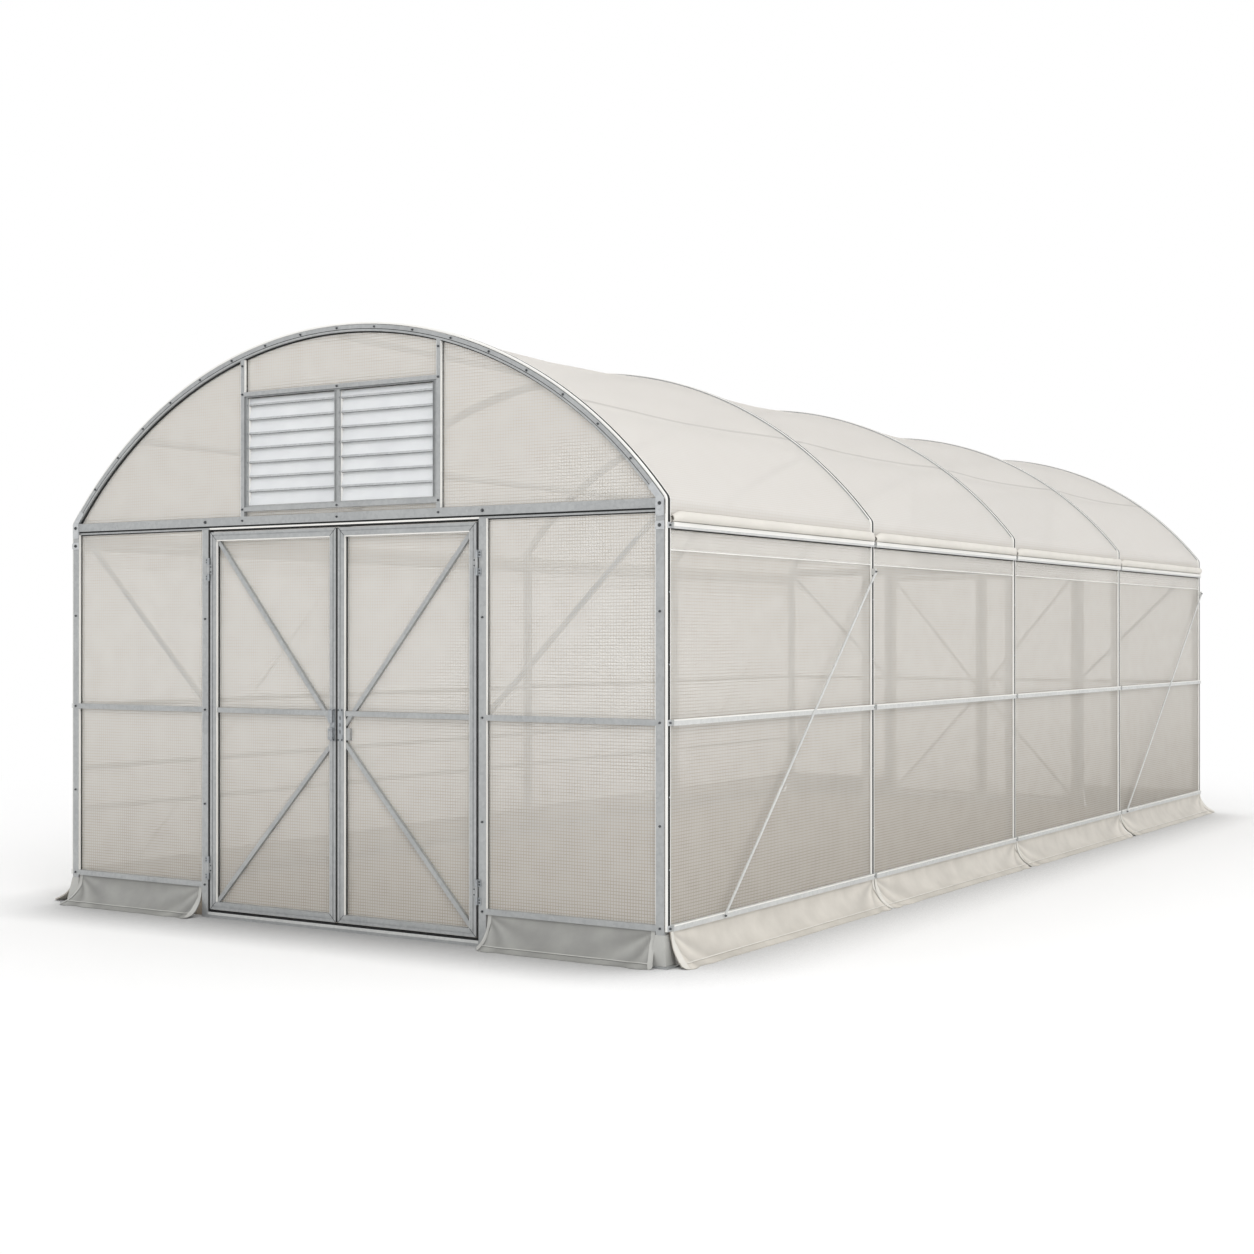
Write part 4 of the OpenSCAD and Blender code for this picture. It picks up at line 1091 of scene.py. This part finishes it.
    bars([end_bar(end, (-LATCH_X - 0.012, -LATCH_X + 0.012), (-TAB, -0.019), (z - 0.005, z + 0.005))
          for z in GUIDE_Z], 0.0015, f"{word}_bolt_guides", ZINC, f"{word}_left_leaf")

# Side walls: saddles over the strips, bolts of rails and braces, white lines on rails and hem,
# and dark strips under the eave rail
for side, word in SIDES:
    out = (side, 0, 0)
    saddle = STRIP_OUT + PLATE
    bars([side_bar(side, (STRIP_OUT, saddle), (y - STRIP_HALF + 0.001, y + STRIP_HALF - 0.001),
                   (z - 0.0125, z + 0.0125)) for y in HOOP_Y for z in RAIL_Z],
         0.001, f"{word}_rail_saddles", SLEEVE)
    spots = [((side * saddle, y, z), out) for y in HOOP_Y for z in RAIL_Z]
    brace = side * (RAIL_OUT + 0.005)
    spots += [((brace, y, BOTTOM_RAIL), out) for y in (HOOP_Y[0] + 0.44, HOOP_Y[3] + 0.11)]
    spots += [((brace, HOOP_Y[i] - 0.008, EAVE - 0.25), out) for i in (1, 4)]
    fasten(small_bolt, spots, f"{word}_wall_bolts")
    fasten(screw, [((side * STRIP_OUT, y, z), out) for y in HOOP_Y for z in STRIP_SCREWS],
           f"{word}_strip_screws", ZINC)
    # White lines on the rails' tops, taller on the eave rail's face: painted highlight. A white line also runs
    # along the hem's foot. Dark strips under the eave rail: painted shadow
    white_lines, shades = [], []
    for bay in range(BAYS):
        span = drawn_in(HOOP_Y[bay:bay + 2], STRIP_HALF)
        for z in RAIL_Z:
            top = z + RAIL / 2
            tall = 0.016 if z == EAVE_RAIL else LINE_TALL
            proud = (RAIL_OUT - 0.004, RAIL_OUT + 0.0015)
            white_lines.append(side_bar(side, proud, span, (top - tall, top + 0.001)))
        hem_top = RAIL_FOOT - LINE_TALL
        shades.append(side_bar(side, (WALL_OUT + 0.001, WALL_OUT + 0.008), span, (hem_top, RAIL_FOOT)))
        hem = hem_top - FLAP
        white_lines.append(side_bar(side, (WALL_OUT + 0.001, WALL_OUT + 0.007), span, (hem - LINE_TALL, hem)))
    bars(white_lines, 0.001, f"{word}_rail_white_lines", CLAMP_AND_HIGHLIGHT)
    bars(shades, 0.001, f"{word}_rail_painted_shadows", RUBBER_AND_SHADOW)


# Grey PVC boots round the corner posts, flared onto the foot plates, in the end skirts' tape:
# their grey is partly painted shade

BOOT_W = 0.0405
BOOT_TALL = 0.124
BOOT_FOOT = 0.006


def post_boot():
    """A square sleeve at the origin that doubles its width at its foot."""
    bpy.ops.object.select_all(action="DESELECT")
    bpy.ops.mesh.primitive_cube_add(size=1, location=(0, 0, BOOT_FOOT + BOOT_TALL / 2),
                                    scale=(BOOT_W, BOOT_W, BOOT_TALL))
    boot = bpy.context.object
    bpy.ops.object.transform_apply()
    pick(boot, lambda centre, normal: normal.z < -0.9)
    bpy.ops.transform.resize(value=(2.0, 2.0, 1), center_override=(0, 0, BOOT_FOOT))
    bpy.ops.object.mode_set(mode="OBJECT")
    pick(boot, lambda centre, normal: abs(normal.z) > 0.9)
    bpy.ops.mesh.delete(type="FACE")
    bpy.ops.object.mode_set(mode="OBJECT")
    modify(boot, "SOLIDIFY", thickness=0.002, offset=1)
    modify(boot, "BEVEL", width=0.0006, segments=2)
    return boot


boot = post_boot()
boots = [copied(boot, Matrix.Translation((x * POST_X, y * END_Y, 0))) for x in (-1, 1) for y in (-1, 1)]
finished(joined(boots), "post_boots", END_TAPE_SHADED, "frame")
for master in (bolt, small_bolt, screw, boot):
    bpy.data.objects.remove(master)


# Stage: pale floor, soft light, camera

def seen_rays(tree):
    """1 for the rays that show the backdrop: from the camera, off gloss or through glass."""
    paths = node(tree, "LightPath").outputs
    seen = node(tree, "Math", {"operation": "MAXIMUM"}, i0=paths["Is Camera Ray"], i1=paths["Is Glossy Ray"])
    seen = node(tree, "Math", {"operation": "MAXIMUM"}, i0=seen.outputs[0], i1=paths["Is Transmission Ray"])
    return seen.outputs[0]


bpy.ops.object.select_all(action="DESELECT")
bpy.ops.mesh.primitive_plane_add(size=160)
floor = bpy.context.object
floor.name = "floor"
material, tree, surface = new_material("studio_floor")
seen = seen_rays(tree)
spot = node(tree, "TexCoord").outputs["Object"]
away = node(tree, "VectorMath", {"operation": "LENGTH"}, i0=spot)
fade = node(tree, "MapRange", Value=away.outputs["Value"], i1=5.5, i2=9.0)
far = node(tree, "Math", {"operation": "MULTIPLY"}, i0=fade.outputs[0], i1=seen)
# Shade close to the skirts, read along a normal that leans to the rear, so that most of it falls in front
tilt = node(tree, "CombineXYZ", Y=0.42, Z=0.91)
under = node(tree, "AmbientOcclusion", {"samples": 4}, Distance=0.6, Normal=tilt.outputs[0])
close = node(tree, "MapRange", Value=under.outputs["AO"], i1=0.35, i2=0.97)
tone = node(tree, "Mix", {"data_type": "RGBA"}, i0=close.outputs[0], i6=rgb("#8e8e8e"), i7=rgb("#f8f8f8"))
matt = node(tree, "BsdfDiffuse", Color=tone.outputs[2])
lift = node(tree, "Math", {"operation": "MULTIPLY"}, i0=seen, i1=0.03)
lifted = node(tree, "Emission", Color=rgb("#ffffff"), Strength=lift.outputs[0])
near = node(tree, "AddShader", i0=matt.outputs[0], i1=lifted.outputs[0])
white = node(tree, "Emission", Color=rgb("#ffffff"), Strength=1.0)
mixed = node(tree, "MixShader", i0=far.outputs[0], i1=near.outputs[0], i2=white.outputs[0])
tree.links.new(mixed.outputs[0], surface)
floor.data.materials.append(material)

world = bpy.data.worlds.new("studio")
bpy.context.scene.world = world
world.use_nodes = True
tree = world.node_tree
tree.nodes.clear()
seen = seen_rays(tree)
level = node(tree, "MapRange", Value=seen, i3=0.98, i4=1.0)
sky = node(tree, "Background", Color=rgb("#ffffff"), Strength=level.outputs[0])
out = node(tree, "OutputWorld")
tree.links.new(sky.outputs[0], out.inputs["Surface"])


def lamp(name, place, aim, size, power):
    """A soft box at a place, turned to its aim."""
    light = bpy.data.lights.new(name, "AREA")
    light.shape = "RECTANGLE"
    light.size, light.size_y = size
    light.energy = power
    holder = bpy.data.objects.new(name, light)
    bpy.context.scene.collection.objects.link(holder)
    holder.location = place
    holder.rotation_euler = (Vector(aim) - Vector(place)).to_track_quat("-Z", "Y").to_euler()


lamp("key_softbox", (13, -13, 12), (0, 0, 1.4), (10, 10), 950)

camera = bpy.data.cameras.new("camera")
camera.sensor_width = 36
camera.lens = 53.858
camera.clip_end = 200
viewer = bpy.data.objects.new("camera", camera)
bpy.context.scene.collection.objects.link(viewer)
viewer.location = (5.7675, -10.6623, 1.3722)
viewer.rotation_euler = (math.radians(90.24), 0, math.radians(32.17))
bpy.context.scene.camera = viewer
bpy.context.scene.view_settings.view_transform = "Standard"
